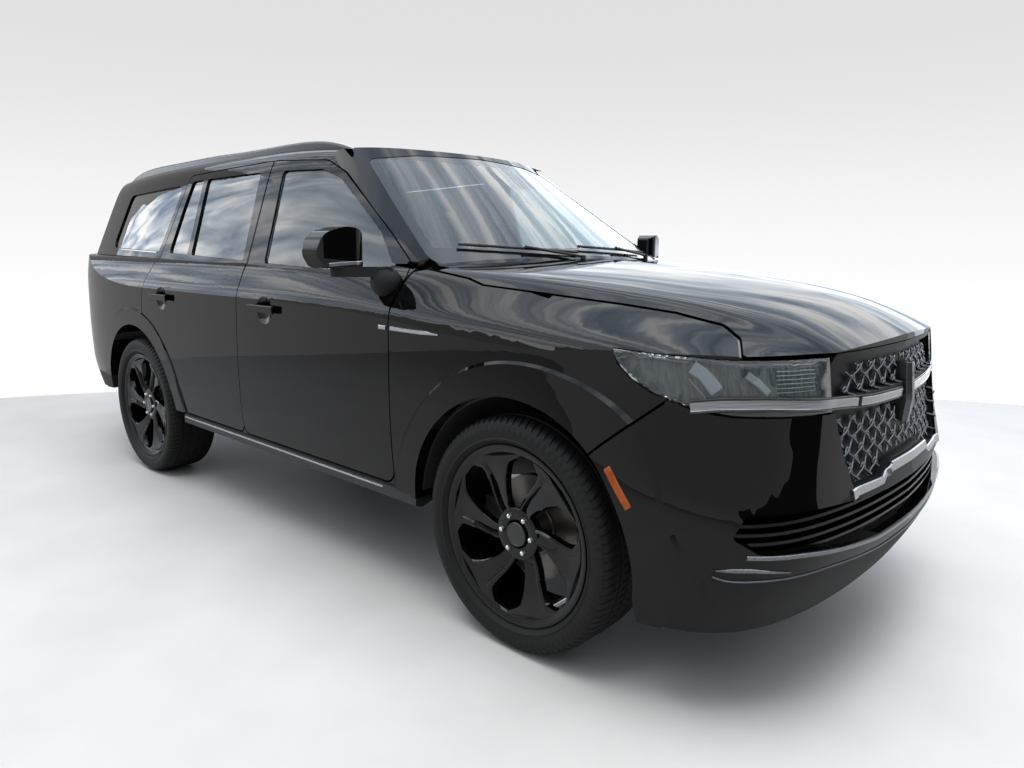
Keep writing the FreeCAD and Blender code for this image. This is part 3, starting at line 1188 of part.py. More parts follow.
def cross_members():
    """Tubes between the rails; the last one carries the hitch receiver."""
    reach = Vector(0, FRAME_INNER_Y - FIT_GAP, 0)
    tubes = [rod(Vector(x, 0, CROSS_Z) - reach, Vector(x, 0, CROSS_Z) + reach, CROSS_RADIUS)
             for x in CROSS_X]
    inner = HITCH_OPENING / 2
    outer = inner + HITCH_WALL
    receiver = box(HITCH_END_X, FRAME_REAR_X + 90.0, -outer, outer, HITCH_Z - outer, HITCH_Z + outer)
    last = fused([tubes.pop(), receiver])
    last = last.cut(box(HITCH_END_X - 1.0, HITCH_END_X + HITCH_DEPTH, -inner, inner,
                        HITCH_Z - inner, HITCH_Z + inner))
    pin = Vector(HITCH_END_X + HITCH_PIN_BACK, -outer - 5.0, HITCH_Z)
    last = last.cut(rod(pin, flattened(pin, "y", outer + 5.0), HITCH_PIN_RADIUS))
    return Part.makeCompound(tubes + [last])


def caliper(axle_x):
    """Caliper astride the disc behind the axle, with its bridge to the upright."""
    disc_outer_y = DISC_INNER_Y + DISC_THICK
    block = right_box(axle_x - DISC_RADIUS - 28.0, axle_x - 105.0, KINGPIN_Y + 8.0,
                      disc_outer_y + CALIPER_GAP + 22.0, AXLE_Z - 75.0, AXLE_Z + 75.0)
    slot = wheel_cylinder(axle_x, DISC_RADIUS + CALIPER_GAP, DISC_INNER_Y - CALIPER_GAP,
                          disc_outer_y + CALIPER_GAP)
    bridge = right_box(axle_x - 130.0, axle_x - 10.0, KINGPIN_Y - 12.0, KINGPIN_Y + 16.0,
                       AXLE_Z - 45.0, AXLE_Z + 45.0)
    return block.cut(slot).fuse(bridge)


def upright(axle_x):
    """Right upright with its spindle and brake caliper."""
    post = right_box(axle_x - 36.0, axle_x + 36.0, KINGPIN_Y - UPRIGHT_HALF,
                     KINGPIN_Y + UPRIGHT_HALF, UPRIGHT_LOW_Z, UPRIGHT_HIGH_Z)
    post = post.makeFillet(10.0, post.Edges)
    flange = wheel_cylinder(axle_x, 66.0, KINGPIN_Y - UPRIGHT_HALF, KINGPIN_Y + UPRIGHT_HALF + 6.0)
    spindle = wheel_cylinder(axle_x, SPINDLE_RADIUS, KINGPIN_Y, SPINDLE_END_Y)
    return fused([post, flange, spindle, caliper(axle_x)])


def stud(axle_x, low, high, radius):
    return rod(Vector(axle_x, -KINGPIN_Y, low), Vector(axle_x, -KINGPIN_Y, high), radius)


def front_knuckle():
    """Upright with bores for the ball studs and an arm for the track rod."""
    x = FRONT_AXLE_X
    arm = right_box(x - STEERING_ARM, x - 20.0, KINGPIN_Y - 12.0, KINGPIN_Y + 12.0,
                    UPRIGHT_LOW_Z + 14.0, UPRIGHT_LOW_Z + 36.0)
    solid = upright(x).fuse(arm).removeSplitter()
    solid = solid.cut(stud(x, LOWER_ARM_Z, UPRIGHT_LOW_Z + 26.0, STUD_RADIUS + FIT_GAP))
    return solid.cut(stud(x, UPRIGHT_HIGH_Z - 26.0, UPPER_ARM_Z, STUD_RADIUS + FIT_GAP))


def a_arm(axle_x, z):
    """Two-legged arm from the frame rail out past the kingpin."""
    inner_y = -FRAME_OUTER_Y - FIT_GAP
    tip_y = -KINGPIN_Y - 22.0
    half = ARM_SPREAD + ARM_LEG
    plate = top_prism([(axle_x - half, inner_y), (axle_x - 24.0, tip_y), (axle_x + 24.0, tip_y),
                       (axle_x + half, inner_y)], [0, 20.0, 20.0, 0], z, z + ARM_THICK)
    gap = ARM_SPREAD - ARM_LEG / 2
    hole = [(axle_x - gap, inner_y + 1.0), (axle_x - 14.0, tip_y + ARM_HOLE_TIP),
            (axle_x + 14.0, tip_y + ARM_HOLE_TIP), (axle_x + gap, inner_y + 1.0)]
    return plate.cut(top_prism(hole, [0, 10.0, 10.0, 0], z - 1.0, z + ARM_THICK + 1.0))


def front_suspension():
    """Right-hand arms with their ball studs, and the strut up to its tower."""
    x = FRONT_AXLE_X
    strut_x = x + STRUT_AHEAD
    seat_plate = right_box(x - 75.0, x + 75.0, STRUT_LOW_Y - 38.0, STRUT_LOW_Y + 38.0,
                           LOWER_ARM_Z, LOWER_ARM_Z + ARM_THICK)
    strut = rod(Vector(strut_x, -STRUT_LOW_Y, LOWER_ARM_Z),
                Vector(strut_x, -STRUT_TOP_Y, STRUT_TOP_Z + 20.0), STRUT_RADIUS)
    strut = strut.common(right_box(x - 90.0, x + 90.0, 300.0, 900.0, LOWER_ARM_Z + 5.0,
                                   STRUT_TOP_Z - FIT_GAP))
    low = fused([a_arm(x, LOWER_ARM_Z), seat_plate, strut,
                 stud(x, LOWER_ARM_Z + 5.0, UPRIGHT_LOW_Z + 22.0, STUD_RADIUS)])
    high = fused([a_arm(x, UPPER_ARM_Z),
                  stud(x, UPRIGHT_HIGH_Z - 22.0, UPPER_ARM_Z + 5.0, STUD_RADIUS)])
    return Part.makeCompound([low, high])


RACK_X = fx(-105.0)
RACK_Z = 338.0
RACK_RADIUS = 24.0
TRACK_ROD_RADIUS = 10.0
TRACK_ROD_END_Y = 680.0
STEERING_ARM = 120.0


def steering_rack():
    """Rack held between the arm brackets, with a track rod out of each end."""
    at = Vector(RACK_X, 0, RACK_Z)
    reach = Vector(0, FRAME_INNER_Y - FIT_GAP, 0)
    out = Vector(0, TRACK_ROD_END_Y, 0)
    return rod(at - reach, at + reach, RACK_RADIUS).fuse(rod(at - out, at + out, TRACK_ROD_RADIUS))


def rear_suspension():
    """Right-hand upright, arm and damper of the independent rear axle."""
    x = REAR_AXLE_X
    tie = stud(x, LOWER_ARM_Z + 5.0, UPRIGHT_LOW_Z + 8.0, 16.0)
    damper = rod(Vector(x - 95.0, -560.0, LOWER_ARM_Z + 8.0),
                 Vector(x - 95.0, -560.0, UNDERBODY_Z - FIT_GAP), 30.0)
    return fused([upright(x), a_arm(x, LOWER_ARM_Z), tie, damper])


# Engine, driveline and exhaust
ENGINE_HALF_WIDTH = 290.0
ENGINE_FRONT_X = fx(290.0)
ENGINE_REAR_X = fx(-330.0)
ENGINE_TOP_Z = 930.0
ENGINE_BOTTOM_Z = CROSS_Z + CROSS_RADIUS + FIT_GAP
GEARBOX_FRONT_X = ENGINE_REAR_X - 70.0
GEARBOX_REAR_X = fx(-1000.0)
GEARBOX_HALF_WIDTH = 105.0
SHAFT_Z = 372.0
SHAFT_RADIUS = 30.0
HALF_SHAFT_RADIUS = 15.0
REAR_SHAFT_END_Y = KINGPIN_Y - UPRIGHT_HALF - 4.0
FRONT_SHAFT_END_Y = KINGPIN_Y - 50.0
REAR_DRIVE_RADIUS = 92.0
FRONT_DRIVE_RADIUS = 82.0
FRONT_DRIVE_Z = 400.0
FRONT_SHAFT_Y = 150.0
FRONT_SHAFT_Z = 390.0
FRONT_SHAFT_RADIUS = 16.0
EXHAUST_Y = -235.0
EXHAUST_Z = 366.0
EXHAUST_RADIUS = 30.0
HANGER_RADIUS = 7.0


def engine_block():
    w = ENGINE_HALF_WIDTH
    points = [(-w + 90.0, ENGINE_BOTTOM_Z), (w - 90.0, ENGINE_BOTTOM_Z), (w, ENGINE_BOTTOM_Z + 180.0),
              (w - 20.0, ENGINE_TOP_Z), (-w + 20.0, ENGINE_TOP_Z), (-w, ENGINE_BOTTOM_Z + 180.0)]
    return front_prism(points, 30.0, ENGINE_REAR_X, ENGINE_FRONT_X)


def final_drive(axle_x, y, z, radius, shaft_end_y):
    """Round housing with a half shaft out of each side, short of the steered uprights."""
    at = Vector(axle_x, y, z)
    half = Vector(0, radius, 0)
    reach = Vector(0, shaft_end_y, 0)
    centre = Vector(axle_x, 0, AXLE_Z)
    shafts = rod(centre - reach, centre + reach, HALF_SHAFT_RADIUS)
    return rod(at - half, at + half, radius).fuse(shafts)


def cross_tube(x):
    reach = Vector(0, FRAME_INNER_Y + 5.0, 0)
    return rod(Vector(x, 0, CROSS_Z) - reach, Vector(x, 0, CROSS_Z) + reach, CROSS_RADIUS + FIT_GAP)


def driveline():
    """Bell housing, gearbox, transfer case, prop shafts and both final drives."""
    w = GEARBOX_HALF_WIDTH
    bell_z = ENGINE_BOTTOM_Z + 150.0
    top_z = UNDERBODY_Z - FIT_GAP
    bell = Part.makeCone(150.0, 60.0, 200.0, Vector(ENGINE_REAR_X - FIT_GAP, 0, bell_z),
                         Vector(-1, 0, 0))
    joiner = box(FIREWALL_X + 30.0, ENGINE_REAR_X - 40.0, -80.0, 80.0, SHAFT_Z, bell_z)
    gearbox = box(GEARBOX_REAR_X, GEARBOX_FRONT_X, -w, w, SHAFT_Z - 60.0, top_z)
    gearbox = gearbox.makeFillet(20.0, gearbox.Edges)
    transfer = box(GEARBOX_REAR_X, GEARBOX_REAR_X + 110.0, 0, FRONT_SHAFT_Y + 45.0,
                   SHAFT_Z - 45.0, top_z - 25.0)
    foot = box(CROSS_X[3], GEARBOX_REAR_X + 10.0, -60.0, 60.0, CROSS_Z - 20.0, CROSS_Z + 20.0)
    rear = rod(Vector(GEARBOX_REAR_X + 10.0, 0, SHAFT_Z), Vector(REAR_AXLE_X, 0, SHAFT_Z), SHAFT_RADIUS)
    front = rod(Vector(GEARBOX_REAR_X + 50.0, FRONT_SHAFT_Y, FRONT_SHAFT_Z),
                Vector(FRONT_AXLE_X, FRONT_SHAFT_Y, FRONT_SHAFT_Z), FRONT_SHAFT_RADIUS)
    carriers = [box(x - 18.0, x + 18.0, -48.0, 48.0, SHAFT_Z - 40.0, CROSS_Z) for x in CROSS_X[4:6]]
    ears = [rod(Vector(FRONT_AXLE_X + 60.0, FRONT_SHAFT_Y + y, 430.0),
                Vector(CROSS_X[1], FRONT_SHAFT_Y + y, CROSS_Z), 14.0) for y in (-50.0, 50.0)]
    drives = [final_drive(REAR_AXLE_X, 0, AXLE_Z - 12.0, REAR_DRIVE_RADIUS, REAR_SHAFT_END_Y),
              final_drive(FRONT_AXLE_X, FRONT_SHAFT_Y, FRONT_DRIVE_Z, FRONT_DRIVE_RADIUS,
                          FRONT_SHAFT_END_Y)]
    solid = fused([bell, joiner, gearbox, transfer, foot, rear, front] + carriers + ears + drives)
    for x in CROSS_X[1:6]:
        solid = solid.cut(cross_tube(x))
    return solid


def exhaust():
    """Down pipe, silencer and tail pipe, hung from the cross tubes."""
    elbow = Vector(fx(-480.0), EXHAUST_Y, EXHAUST_Z)
    start = Vector(ENGINE_REAR_X - FIT_GAP, EXHAUST_Y, ENGINE_BOTTOM_Z + 120.0)
    silencer = box(rx(-900.0), rx(-500.0), EXHAUST_Y - 110.0, EXHAUST_Y + 110.0,
                   EXHAUST_Z - 38.0, EXHAUST_Z + 34.0)
    silencer = silencer.makeFillet(25.0, silencer.Edges)
    down = rod(start + Vector(40.0, 0, 68.0), elbow, EXHAUST_RADIUS)
    down = down.cut(box(ENGINE_REAR_X - FIT_GAP, FAR_X1, -FAR_Y, FAR_Y, 0, FAR_Z))
    tail_y = EXHAUST_Y - 60.0
    parts = [down, ball(elbow, EXHAUST_RADIUS + 1.0),
             rod(elbow, Vector(rx(-520.0), EXHAUST_Y, EXHAUST_Z), EXHAUST_RADIUS), silencer,
             rod(Vector(rx(-880.0), tail_y, EXHAUST_Z), Vector(rx(-1080.0), tail_y, EXHAUST_Z),
                 EXHAUST_RADIUS + 4.0)]
    for x in CROSS_X[3:7]:
        parts.append(rod(Vector(x, EXHAUST_Y, EXHAUST_Z),
                         Vector(x, EXHAUST_Y, CROSS_Z - CROSS_RADIUS - FIT_GAP), HANGER_RADIUS))
    return fused(parts)


# Front wheelhouse liners
LINER_WALL = 6.0
LINER_LOW_Z = 470.0
LINER_INNER_Y = FRONT_WHEELHOUSE_Y + FIT_GAP
LINER_OUTER_Y = 960.0
LINER_WINDOW_TOP_Z = STRUT_TOP_Z + 40.0


def wheelhouse_liner():
    """Right front liner: a hoop round the tyre and a wall with a suspension window."""
    outer = FRONT_ARCH_RADIUS - FIT_GAP
    hoop = wheel_cylinder(FRONT_AXLE_X, outer, LINER_INNER_Y, LINER_OUTER_Y)
    hoop = hoop.cut(wheel_cylinder(FRONT_AXLE_X, outer - LINER_WALL, LINER_INNER_Y + LINER_WALL,
                                   LINER_OUTER_Y + 1.0))
    hoop = hoop.cut(box(FAR_X0, FAR_X1, -FAR_Y, 0, 0, LINER_LOW_Z))
    window = right_box(FRONT_AXLE_X - 200.0, FRONT_AXLE_X + 200.0, 400.0, 500.0, 0,
                       LINER_WINDOW_TOP_Z)
    return biggest(hoop.cut(window).common(skirt))


# Cabin
SEAT_WIDTH = 540.0
FRONT_SEAT_X = rx(1330.0)
MIDDLE_SEAT_X = rx(480.0)
BENCH_X = rx(-420.0)
SEAT_Y = 400.0
BENCH_HALF_WIDTH = 570.0


def seat(x, y, width, lift):
    """Seat with a pedestal, cushion, back and headrest in one side profile."""
    profile = [(60.0, 150.0), (500.0, 150.0), (545.0, 225.0), (530.0, 300.0), (150.0, 285.0),
               (10.0, 820.0), (-20.0, 960.0), (-95.0, 960.0), (-110.0, 830.0), (20.0, 200.0)]
    radii = [20.0, 30.0, 20.0, 35.0, 60.0, 40.0, 30.0, 30.0, 60.0, 40.0]
    points = [(x + px, FLOOR_Z + lift + pz) for px, pz in profile]
    shell_solid = side_prism(points, radii, y - width / 2, y + width / 2)
    ends = [e for e in shell_solid.Edges
            if abs(e.BoundBox.YMin - e.BoundBox.YMax) < 1.0]
    shell_solid = shell_solid.makeFillet(18.0, ends)
    pedestal = box(x + 90.0, x + 470.0, y - width / 2 + 60.0, y + width / 2 - 60.0,
                   FLOOR_Z, FLOOR_Z + lift + 165.0)
    return shell_solid.fuse(pedestal)


DASH_HALF_WIDTH = 862.0
DASH_FRONT_X = FIREWALL_X - FIREWALL_THICK - FIT_GAP
WHEEL_CENTRE = Vector(fx(-1130.0), 400.0, 1120.0)
WHEEL_RIM_RADIUS = 185.0
WHEEL_TILT = 24.0
WHEEL_SPOKE_RADIUS = 11.0


def dashboard():
    """Dash across the cabin, with the centre console and the steering wheel."""
    profile = [(DASH_FRONT_X, 960.0), (DASH_FRONT_X, 1262.0), (fx(-880.0), 1258.0),
               (fx(-985.0), 1215.0), (fx(-975.0), 1100.0), (fx(-860.0), 960.0)]
    dash = side_prism(profile, [0, 20.0, 60.0, 40.0, 40.0, 40.0], -DASH_HALF_WIDTH, DASH_HALF_WIDTH)
    console = side_prism([(fx(-870.0), FLOOR_Z), (fx(-860.0), 1020.0), (fx(-985.0), 1010.0),
                          (fx(-1150.0), 890.0), (fx(-1720.0), 890.0), (fx(-1760.0), FLOOR_Z)],
                         [0, 0, 30.0, 60.0, 40.0, 0], -120.0, 120.0)
    tilt = math.radians(WHEEL_TILT)
    way = Vector(-math.cos(tilt), 0, math.sin(tilt))
    ring = Part.makeTorus(WHEEL_RIM_RADIUS, 15.0, WHEEL_CENTRE, way)
    hub = rod(WHEEL_CENTRE + way * 12.0, WHEEL_CENTRE - way * 40.0, 52.0)
    column = rod(WHEEL_CENTRE - way * 30.0, WHEEL_CENTRE - way * 260.0, 30.0)
    reach = Vector(0, WHEEL_RIM_RADIUS, 0)
    spoke = rod(WHEEL_CENTRE - reach, WHEEL_CENTRE + reach, WHEEL_SPOKE_RADIUS)
    foot = WHEEL_CENTRE - Vector(math.sin(tilt), 0, math.cos(tilt)) * WHEEL_RIM_RADIUS
    drop = rod(WHEEL_CENTRE, foot, WHEEL_SPOKE_RADIUS)
    return fused([dash, console, ring, hub, column, spoke, drop])


# Wipers
WIPER_STAND = 8.0
BLADES = [((600.0, 1366.0), (-10.0, 1392.0)), ((-60.0, 1366.0), (-640.0, 1398.0))]


def on_screen(y, z, stand):
    """Point on the windscreen's surface, moved out by this much."""
    line = Part.makeLine(Vector(fx(600.0), y, z), Vector(fx(-1700.0), y, z))
    at = line.distToShape(screen_face(SCREEN_LOW, SCREEN_HIGH, 1))[1][0][0]
    return at + Vector(0.6, 0, 0.8) * stand


def wiper(start, end):
    """Blade along the foot of the screen, with its arm and pivot in the cowl."""
    steps = 6
    path = [on_screen(start[0] + (end[0] - start[0]) * i / steps,
                      start[1] + (end[1] - start[1]) * i / steps, WIPER_STAND + 4.0)
            for i in range(steps + 1)]
    parts = [rod(a, b, 6.0) for a, b in zip(path, path[1:])]
    parts += [ball(p, 6.6) for p in path[1:-1]]
    pivot = on_screen(start[0], start[1] - 22.0, 16.0)
    parts.append(rod(pivot, path[3] + Vector(0.6, 0, 0.8) * 8.0, 6.0))
    parts.append(ball(path[3] + Vector(0.6, 0, 0.8) * 8.0, 8.0))
    parts.append(rod(pivot - Vector(0, 0, 42.0), pivot + Vector(0, 0, 6.0), 12.0))
    return fused(parts)


def wipers():
    return Part.makeCompound([wiper(*blade).cut(whole_shell) for blade in BLADES])


def export(name, shape):
    print(name, shape.isValid(), len(shape.Solids), len(shape.Faces))
    shape.exportStep("parts/" + name + ".step")


def export_pair(name, right):
    export(name + "_right", right)
    export(name + "_left", mirrored(right))


os.makedirs("parts", exist_ok=True)
front_fender = biggest(front_fender.cut(right_box(BOARD_REAR_X, BOARD_FRONT_X + FIT_GAP, 0, FAR_Y,
                                                  0, BOARD_TOP_Z + FIT_GAP)))
whole_shell = whole(shell)
export("body_shell", whole_shell)
export("hood", whole(hood))
export("front_fenders", both(front_fender))
export("front_bumper", whole(front_bumper))
export("grille", whole(grille))
export("headlamps", both(headlamp))
export("windshield", whole(windshield))
export("roof_glass", whole(roof_glass))
export("quarter_glass", both(quarter_glass))
export("liftgate", whole(liftgate))
export("liftgate_glass", whole(liftgate_glass))
export("liftgate_lamp", whole(liftgate_lamp))
export("tailgate", whole(tailgate))
export("rear_bumper", whole(rear_bumper))
export("tail_lamps", both(tail_lamp_side))
export("roof_rails", both(roof_rail()))
export("running_boards", both(running_board()))
export_pair("door_front", front_door)
export_pair("door_rear", rear_door)
export_pair("glass_front", front_door_glass)
export_pair("glass_rear", rear_door_glass)
export_pair("mirror", door_mirror)
export_pair("knuckle_front", front_knuckle())
rim = rim_solid()
tyre = tyre_solid()
for end, axle_x in (("front", FRONT_AXLE_X), ("rear", REAR_AXLE_X)):
    for hand, side in (("right", -1), ("left", 1)):
        export("rim_" + end + "_" + hand, placed_wheel(rim, axle_x, side))
        export("tyre_" + end + "_" + hand, placed_wheel(tyre, axle_x, side))
export("frame_rails", both(frame_side()))
export("cross_members", cross_members())
export("front_suspension", Part.makeCompound([both(front_suspension()), steering_rack()]))
export("rear_suspension", both(rear_suspension()))
export("engine_block", engine_block())
export("driveline", driveline())
export("exhaust", exhaust())
export("wheelhouse_liners", both(wheelhouse_liner()))
export("front_seats", both(seat(FRONT_SEAT_X, -SEAT_Y, SEAT_WIDTH, 60.0)))
middle = seat(MIDDLE_SEAT_X, -SEAT_Y, SEAT_WIDTH, 60.0)
export("rear_seats", Part.makeCompound([both(middle), seat(BENCH_X, 0, BENCH_HALF_WIDTH * 2, 60.0)]))
export("dashboard", dashboard())
export("wipers", wipers())
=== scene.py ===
import math

import bmesh
import bpy
from mathutils import Matrix, Vector
from mathutils.bvhtree import BVHTree


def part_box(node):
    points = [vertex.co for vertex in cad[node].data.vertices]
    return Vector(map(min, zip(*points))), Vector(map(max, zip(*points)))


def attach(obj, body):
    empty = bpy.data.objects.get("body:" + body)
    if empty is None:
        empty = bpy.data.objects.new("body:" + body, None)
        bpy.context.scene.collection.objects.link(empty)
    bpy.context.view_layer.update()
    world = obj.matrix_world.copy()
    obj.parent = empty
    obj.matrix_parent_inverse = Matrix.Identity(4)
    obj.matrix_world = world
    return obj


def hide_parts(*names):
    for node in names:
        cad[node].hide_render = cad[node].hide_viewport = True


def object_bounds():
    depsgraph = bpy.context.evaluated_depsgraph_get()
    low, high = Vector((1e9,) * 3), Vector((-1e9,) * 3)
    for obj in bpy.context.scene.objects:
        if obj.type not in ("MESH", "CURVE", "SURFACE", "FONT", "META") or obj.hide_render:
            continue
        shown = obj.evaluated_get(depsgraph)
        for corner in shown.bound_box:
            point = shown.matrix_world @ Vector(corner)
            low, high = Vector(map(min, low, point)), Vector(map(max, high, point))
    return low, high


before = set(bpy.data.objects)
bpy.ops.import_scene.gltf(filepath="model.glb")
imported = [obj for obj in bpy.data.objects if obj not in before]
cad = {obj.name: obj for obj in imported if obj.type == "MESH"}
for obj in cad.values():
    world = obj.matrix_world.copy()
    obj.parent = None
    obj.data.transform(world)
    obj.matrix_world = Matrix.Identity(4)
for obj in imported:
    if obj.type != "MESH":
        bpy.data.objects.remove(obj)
cad_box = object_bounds()
scene = bpy.context.scene

# Camera: a phone's wide lens at chest height, off the right front corner. Its place,
# turn and focal length were solved from the photograph.
CAMERA_PLACE = Vector((3.302, -2.748, 1.396))
CAMERA_YAW = math.radians(132.67)
CAMERA_PITCH = math.radians(-10.47)
CAMERA_ROLL = math.radians(0.25)
FOCAL_PX = 739.8
PHOTO_WIDTH_PX = 1024
SENSOR_MM = 36.0


def new_object(name, data):
    """Object in the scene that holds a mesh, a lamp or a lens."""
    item = bpy.data.objects.new(name, data)
    scene.collection.objects.link(item)
    return item


def aimed(place, way):
    """Matrix of a camera or lamp that stands at a place and looks this way."""
    return Matrix.Translation(place) @ way.to_track_quat("-Z", "Y").to_matrix().to_4x4()


look = Vector((math.cos(CAMERA_YAW) * math.cos(CAMERA_PITCH),
               math.sin(CAMERA_YAW) * math.cos(CAMERA_PITCH), math.sin(CAMERA_PITCH)))
lens = bpy.data.cameras.new("lens")
lens.sensor_width = SENSOR_MM
lens.lens = FOCAL_PX / PHOTO_WIDTH_PX * SENSOR_MM
lens.clip_end = 200.0
camera = new_object("camera", lens)
camera.matrix_world = aimed(CAMERA_PLACE, look) @ Matrix.Rotation(CAMERA_ROLL, 4, "Z")
scene.camera = camera
scene.view_settings.view_transform = "Standard"


# Backdrop: white cloth that turns light grey towards the top, as the camera, mirrors
# and glass see it. The light it gives is dimmer and falls mostly from above.
def colour(code):
    """sRGB hex such as #20242a as linear RGBA."""
    channels = [int(code[i:i + 2], 16) / 255 for i in (1, 3, 5)]
    linear = [c / 12.92 if c <= 0.04045 else ((c + 0.055) / 1.055) ** 2.4 for c in channels]
    return (*linear, 1.0)


def feed(tree, node, *inputs, **settings):
    """Fills a node's sockets in order, and its sockets or properties by name. An output,
    or a node for its first output, is linked; any other value is set."""
    values = list(zip(node.inputs, inputs))
    for name, value in settings.items():
        socket = name.replace("_", " ")
        if socket in node.inputs:
            values.append((node.inputs[socket], value))
        else:
            setattr(node, name, value)
    for socket, value in values:
        if isinstance(value, bpy.types.Node):
            value = value.outputs[0]
        if isinstance(value, bpy.types.NodeSocket):
            tree.links.new(value, socket)
        else:
            socket.default_value = value
    return node


def shader_node(tree, kind, *inputs, stops=(), **settings):
    """Adds a node with its inputs and settings, and a ramp with its (share, colour) stops."""
    node = tree.nodes.new("ShaderNode" + kind)
    if stops:
        elements = node.color_ramp.elements
        while len(elements) < len(stops):
            elements.new(0.5)
        for element, (share, code) in zip(elements, stops):
            element.position = share
            element.color = colour(code)
    return feed(tree, node, *inputs, **settings)


world = bpy.data.worlds.new("backdrop")
scene.world = world
world.use_nodes = True
sky = world.node_tree
sky.nodes.clear()
height = shader_node(sky, "SeparateXYZ", shader_node(sky, "TexCoord")).outputs["Z"]
level = shader_node(sky, "MapRange", height, From_Min=-0.1, From_Max=0.4)
cloth = shader_node(sky, "ValToRGB", level,
                    stops=[(0.0, "#ffffff"), (0.10, "#ffffff"), (0.32, "#f5f5f5"), (0.52, "#e8e8e8"),
                           (0.66, "#e2e2e2"), (1.0, "#e0e0e0")])
seen = shader_node(sky, "Background", cloth, Strength=1.0)
fill = shader_node(sky, "ValToRGB", height, stops=[(0.05, "#3c3e42"), (0.45, "#c9cdd4"), (0.8, "#ffffff")])
lighting = shader_node(sky, "Background", fill, Strength=0.55)
rays = shader_node(sky, "LightPath").outputs
seen_or_glossy = shader_node(sky, "Math", rays["Is Camera Ray"], rays["Is Glossy Ray"], operation="MAXIMUM")
seen_through = shader_node(sky, "Math", seen_or_glossy, rays["Is Transmission Ray"], operation="MAXIMUM")
shader_node(sky, "OutputWorld", shader_node(sky, "MixShader", seen_through, lighting, seen))

# Floor: a polished concrete stand whose far edge shows as a gentle arc in front of
# the backdrop. Ground smooth, it is pale and even, with only a faint cloudiness.
FLOOR_CENTRE = (6.27, -6.28)
FLOOR_RADIUS = 12.2
FLOOR_SIDES = 256


def new_material(name):
    """Material with its node tree, its shader and its place on the object in metres."""
    material = bpy.data.materials.new(name)
    material.use_nodes = True
    tree = material.node_tree
    return material, tree, tree.nodes["Principled BSDF"], shader_node(tree, "TexCoord").outputs["Object"]


def surface(name, low, high, grain_mm, rough, bump_mm=0.0, stretch=(1.0, 1.0, 1.0), **sockets):
    """Material whose colour, roughness and relief vary with one noise of this grain."""
    material, tree, shader, place = new_material(name)
    scaled = shader_node(tree, "Mapping", place, Scale=stretch)
    grain = shader_node(tree, "TexNoise", scaled, Scale=1000.0 / grain_mm, Detail=3.0)
    feed(tree, shader, Base_Color=shader_node(tree, "ValToRGB", grain, stops=[(0.3, low), (0.7, high)]),
         Roughness=shader_node(tree, "MapRange", grain, To_Min=rough[0], To_Max=rough[1]), **sockets)
    if bump_mm:
        feed(tree, shader, Normal=shader_node(tree, "Bump", Height=grain, Strength=1.0,
                                              Distance=bump_mm / 1000.0))
    return material


floor_mesh = bpy.data.meshes.new("floor")
work = bmesh.new()
bmesh.ops.create_circle(work, cap_ends=True, segments=FLOOR_SIDES, radius=FLOOR_RADIUS,
                        matrix=Matrix.Translation((*FLOOR_CENTRE, 0.0)))
work.to_mesh(floor_mesh)
work.free()
floor = new_object("floor", floor_mesh)
floor_mesh.materials.append(surface("polished_concrete", "#cbcbcb", "#d6d6d6", 620.0, (0.5, 0.62)))


# Lamps: three large softboxes, overhead and on both sides. They light the car evenly
# and are kept out of reflections, which show the scrims and the backdrop instead.
def softbox(name, place, target, size, power, code="#ffffff"):
    """Rectangular soft light aimed at a point."""
    lamp = bpy.data.lights.new(name, "AREA")
    lamp.shape = "RECTANGLE"
    lamp.size, lamp.size_y = size
    lamp.energy = power
    lamp.color = colour(code)[:3]
    holder = new_object(name, lamp)
    holder.matrix_world = aimed(place, Vector(target) - Vector(place))
    holder.visible_glossy = False


softbox("overhead_softbox", (2.2, -1.4, 9.0), (1.6, -1.0, 0.0), (9.0, 5.0), 840.0)
softbox("far_side_softbox", (-3.5, 7.5, 4.2), (0.0, 0.0, 1.0), (9.0, 3.0), 60.0, "#f4f6ff")
softbox("near_side_softbox", (2.5, -6.5, 6.5), (1.0, -1.0, 0.0), (9.0, 4.0), 60.0)

# Studio cards: back-lit scrims beside and over the car, and a dark flag ahead of it.
# Only the lacquer and glass show them, as a streaked sky over a dark ground.
CARD_STEPS = 60
RIPPLES = ((17.0, 0.0, 0.5), (41.0, 1.0, 0.3))
STREAK_MM = 625.0
STREAK_STRETCH = (0.10, 0.5, 0.8)


def mesh_object(name, verts, faces, material):
    """Object made of these vertices and faces."""
    mesh = bpy.data.meshes.new(name)
    mesh.from_pydata([tuple(v) for v in verts], [], faces)
    mesh.materials.append(material)
    return new_object(name, mesh)


def studio_card(name, start, end, low, high, wave, material):
    """Upright cloth from one ground point to another, with rippled lower and top edges."""
    verts = []
    for i in range(CARD_STEPS + 1):
        share = i / CARD_STEPS
        x, y = (a + (b - a) * share for a, b in zip(start, end))
        sway = wave * sum(size * math.sin(share * rate + shift) for rate, shift, size in RIPPLES)
        verts += [(x, y, low + sway * min(1.0, low)), (x, y, high + sway)]
    faces = [(2 * i, 2 * i + 2, 2 * i + 3, 2 * i + 1) for i in range(CARD_STEPS)]
    item = mesh_object(name, verts, faces, material)
    for ray in ("camera", "diffuse", "transmission", "shadow"):
        setattr(item, "visible_" + ray, False)
    return item


